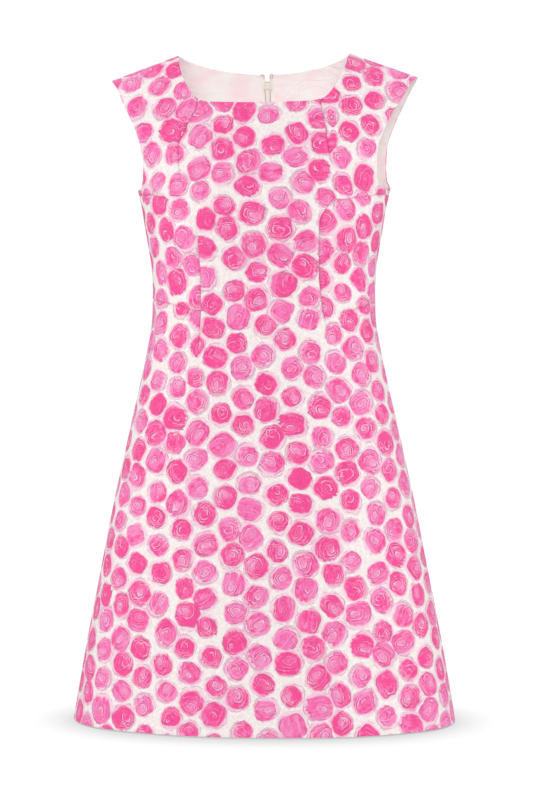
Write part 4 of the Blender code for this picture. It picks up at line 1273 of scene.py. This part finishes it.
tape_z = np.concatenate([np.linspace(ZIP_BOTTOM, -239, 56), np.linspace(-234, -37, 42), np.linspace(-34.8, -16.5, 10)])
inner_edge = np.where(tape_z < -36, 3.1, 4.3)          # wider where the slider sits between the tapes
outer_edge = np.where(tape_z < -236, 14.3, 9.2)        # narrower where it lies beside the facing's edge
for side, word in ((-1, "left"), (1, "right")):
    xs = side * (inner_edge[:, None] + (outer_edge - inner_edge)[:, None] * np.linspace(0, 1, 4)[None, :])
    ob = closed_strip("zip_tape_" + word + "_woven", strip_grid(tape_z, xs, INSET), strip_grid(tape_z, xs, INSET + 0.8), tape_cloth)
    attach(ob, "dress")
    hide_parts("zip_tape_" + word)

coil_mat, k, p = new_material("coil_nylon", 0.42)
coord = k.tree.nodes.new("ShaderNodeTexCoord").outputs["Object"]
tone = k.noise(coord, 900.0, 2.0, 0.5).outputs["Fac"]
k.put(p.inputs["Base Color"], k.mix(k.step(0.3, 0.7, tone), srgb(252, 246, 242), srgb(254, 251, 248)))


def coil():
    """Teeth of the closed coil, in two interlocked rows, and the short open rows above the slider."""
    pitch, verts, faces = 1.4, [], []

    def tooth(x0, x1, z, y, n, high, thick):
        t = np.array([0.0, -n[2], n[1]])                   # up along the cloth
        base = len(verts)
        for x, w in ((x0, 0.62), (x0 + 0.35 * np.sign(x1 - x0), 1.0), (x1 - 0.35 * np.sign(x1 - x0), 1.0), (x1, 0.62)):
            for a, b in ((-1, -0.5), (-0.5, -1), (0.5, -1), (1, -0.5), (1, 0.5), (0.5, 1), (-0.5, 1), (-1, 0.5)):
                p = np.array([x, y, z]) + t * (a * high / 2 * w) + n * (b * thick / 2 * w)
                verts.append(p)
        for s in range(3):
            for q in range(8):
                a, b = base + s * 8 + q, base + s * 8 + (q + 1) % 8
                faces.append((a, b, b + 8, a + 8))
        faces.append(tuple(base + q for q in range(8))[::-1])
        faces.append(tuple(base + 24 + q for q in range(8)))

    z = -516.0
    k = 0
    while z < -35.0:
        side = 1 if k % 2 else -1
        y, n = back_line(np.array([z]))
        y, n = float(y[0]), n[0]
        depth = INSET + 0.95
        tooth(side * -0.35, side * 2.65, z - depth * n[2], y - depth * n[1], n, pitch * 0.88 / 1.0, 1.5)
        z += pitch / 2 * 1.02
        k += 1
    z = -32.0
    while z < -20.5:
        for side in (-1, 1):
            y, n = back_line(np.array([z]))
            y, n = float(y[0]), n[0]
            depth = INSET + 0.95
            tooth(side * 3.1, side * 5.2, z - depth * n[2], y - depth * n[1], n, pitch * 0.8, 1.5)
        z += pitch
    ob = mesh_from("zip_coil", np.array(verts), faces, [coil_mat], smooth=False)
    tidy(ob)
    return ob


def tube(points, radius, sides=8):
    """Round wire along points, closed at both ends, in mm."""
    p = np.asarray(points, float)
    t = np.gradient(p, axis=0)
    t /= np.linalg.norm(t, axis=1, keepdims=True)
    n = np.cross(t[0], (0.3, 0.9, 0.2))
    verts, faces = [], []
    for i in range(len(p)):
        n = n - t[i] * np.dot(n, t[i])
        n /= np.linalg.norm(n)
        b = np.cross(t[i], n)
        a = np.linspace(0, math.tau, sides, endpoint=False)
        verts.append(p[i] + radius * (np.cos(a)[:, None] * n + np.sin(a)[:, None] * b))
    for i in range(len(p) - 1):
        for q in range(sides):
            faces.append((i * sides + q, i * sides + (q + 1) % sides, (i + 1) * sides + (q + 1) % sides, (i + 1) * sides + q))
    faces.append(tuple(range(sides))[::-1])
    faces.append(tuple((len(p) - 1) * sides + q for q in range(sides)))
    return np.concatenate(verts), faces


def several_tubes(name, runs, materials):
    verts, faces, base = [], [], 0
    for points, radius, sides in runs:
        v, f = tube(points, radius, sides)
        verts.append(v)
        faces += [tuple(base + k for k in face) for face in f]
        base += len(v)
    ob = mesh_from(name, np.concatenate(verts), faces, materials)
    tidy(ob)
    return ob


def on_tape(x, z, depth):
    y, n = back_line(np.atleast_1d(z))
    return np.stack([np.broadcast_to(x, np.shape(np.atleast_1d(z))), y - depth * n[:, 1], np.atleast_1d(z) - depth * n[:, 2]], axis=1)


# stitching that holds the tapes to the coil, made dark grey as painted shade in the gaps beside the teeth
stitch_thread_and_painted_shade, k, p = new_material("grey_thread_and_painted_shade", 0.75)
coord = k.tree.nodes.new("ShaderNodeTexCoord").outputs["Object"]
k.put(p.inputs["Base Color"], k.mix(k.step(0.35, 0.65, k.noise(coord, 1500.0, 2.0, 0.5).outputs["Fac"]), srgb(142, 134, 128), srgb(176, 168, 160)))
stitch_z = np.concatenate([np.linspace(-516, -37, 152), np.linspace(-34.8, -17.5, 10)])
stitch_x = np.where(stitch_z < -36, 3.5, 4.9)
ob = several_tubes("zip_stitching_and_painted_shade", [(on_tape(side * stitch_x, stitch_z, INSET + 0.85), 0.33, 6) for side in (-1, 1)], [stitch_thread_and_painted_shade])
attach(ob, "dress")

wire, k, p = new_material("hook_wire", 0.36)
p.inputs["Metallic"].default_value = 0.75
coord = k.tree.nodes.new("ShaderNodeTexCoord").outputs["Object"]
k.put(p.inputs["Base Color"], k.mix(k.step(0.35, 0.65, k.noise(coord, 2500.0, 2.0, 0.5).outputs["Fac"]), srgb(178, 170, 160), srgb(206, 199, 190)))
ring = np.linspace(-0.6, math.pi + 0.6, 15)
eye = [on_tape(-6.2 + 1.7 * math.cos(a), np.array([-15.9 + 1.7 * math.sin(a)]), INSET + FACING + 0.5)[0] for a in ring]
hook_l = on_tape(5.0, np.linspace(-19.5, -14.4, 8), INSET + FACING + 0.5)
hook_r = on_tape(7.6, np.linspace(-19.5, -14.4, 8), INSET + FACING + 0.5)
arch = [on_tape(6.3 - 1.3 * math.cos(a), np.array([-14.4 + 1.2 * math.sin(a)]), INSET + FACING + 0.5)[0] for a in np.linspace(0.3, math.pi - 0.3, 7)]
# a grey wire along the slider's top edge: its rim, kept dark as a painted shade line between the tapes
slider_lip_painted_shade = on_tape(np.linspace(-3.5, 3.5, 9), np.full(9, -23.2), 4.95)
ob = several_tubes("hook_and_eye", [(eye, 0.42, 8), (np.concatenate([hook_l, arch, hook_r[::-1]]), 0.42, 8),
                                       (slider_lip_painted_shade, 0.5, 8)], [wire])
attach(ob, "dress")

ob = coil()
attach(ob, "dress")
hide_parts("zip_chain")

metal, k, p = new_material("cream_enamel", 0.38)
coord = k.tree.nodes.new("ShaderNodeTexCoord").outputs["Object"]
grain = k.noise(k.vector("MULTIPLY", coord, (3000.0, 400.0, 400.0)), 1.0, 3.0, 0.6).outputs["Fac"]
k.put(p.inputs["Base Color"], k.mix(k.step(0.3, 0.7, grain), srgb(234, 227, 219), srgb(242, 236, 229)))
bump = k.tree.nodes.new("ShaderNodeBump")
bump.inputs["Strength"].default_value = 0.15
bump.inputs["Distance"].default_value = 0.0001
k.put(bump.inputs["Height"], grain)
k.put(p.inputs["Normal"], bump.outputs[0])
for name in ("zip_slider", "zip_pull_tab"):
    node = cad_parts[name]
    node.data.materials.clear()
    node.data.materials.append(metal)

# ================================================================ floor, light and air
floor_mat, k, p = new_material("floor", 0.95)
p.inputs["Base Color"].default_value = (0.06, 0.06, 0.06, 1)
p.inputs["Specular IOR Level"].default_value = 0.0
p.inputs["Emission Color"].default_value = (1, 1, 1, 1)
path = k.tree.nodes.new("ShaderNodeLightPath")
near = k.tree.nodes.new("ShaderNodeAmbientOcclusion")       # a soft shade on the paper round the hem
near.samples = 12
near.inputs["Distance"].default_value = 0.10
open_sky = k.step(0.45, 1.0, near.outputs["AO"])
close = k.tree.nodes.new("ShaderNodeAmbientOcclusion")      # and a painted shadow line where the hem nearly meets it
close.samples = 8
close.inputs["Distance"].default_value = 0.02
clear = k.step(0.25, 0.75, close.outputs["AO"])
# painted shadow: for camera rays the floor's glow drops where the AO masks find the dress near
seen = k.math("MULTIPLY_ADD", open_sky, 0.36, 0.20)
seen = k.math("ADD", seen, k.math("MULTIPLY_ADD", clear, 0.4, -0.4))
k.put(p.inputs["Emission Strength"], k.math("MULTIPLY_ADD", path.outputs["Is Camera Ray"], seen, 0.42))
mesh = bpy.data.meshes.new("floor")
mesh.from_pydata([(-6, -6, -0.8955), (6, -6, -0.8955), (6, 4, -0.8955), (-6, 4, -0.8955)], [], [(0, 1, 2, 3)])
mesh.materials.append(floor_mat)
floor = add_object("floor", mesh)

AIR = 0.12         # light from all round; the backdrop itself is white
world = bpy.data.worlds.new("studio")
bpy.context.scene.world = world
world.use_nodes = True
wn = world.node_tree
k = Nodes(wn)
background = wn.nodes["Background"]
background.inputs["Color"].default_value = (1, 1, 1, 1)
path = wn.nodes.new("ShaderNodeLightPath")
k.put(background.inputs["Strength"], k.math("MULTIPLY_ADD", path.outputs["Is Camera Ray"], 1.02 - AIR, AIR))

bpy.context.scene.view_settings.view_transform = "Standard"


def lamp(name, place, aim, size, power):
    data = bpy.data.lights.new(name, "AREA")
    data.shape, data.size, data.energy = "SQUARE", size, power
    ob = bpy.data.objects.new(name, data)
    bpy.context.scene.collection.objects.link(ob)
    ob.location = place
    from mathutils import Vector
    ob.rotation_euler = (Vector(aim) - Vector(place)).to_track_quat("-Z", "Y").to_euler()
    return ob


lamp("front", (0.1, -4.6, 0.0), (0, 0, -0.5), 2.4, 148)
lamp("left", (-3.3, -0.1, 0.1), (0, 0, -0.45), 2.2, 43)
lamp("right", (3.3, -0.1, 0.1), (0, 0, -0.45), 2.2, 59)
lamp("high", (-2.3, -1.7, 1.4), (0, 0, -0.1), 1.2, 15)
lamp("top", (0.0, 0.5, 2.0), (0, 0, -0.1), 1.0, 18)
lamp("behind", (0.0, 3.4, 0.8), (0, 0, -0.45), 2.4, 90)
lamp("within", (0.0, -0.01, -0.38), (0, 0.02, 0), 0.12, 0.086).visible_camera = False     # lifts the facing at the neck
for side in (-1, 1):                                                                          # and at the armholes
    lamp("within_arm", (side * 0.12, -0.03, -0.14), (side * 0.17, 0.05, -0.08), 0.05, 0.009).visible_camera = False
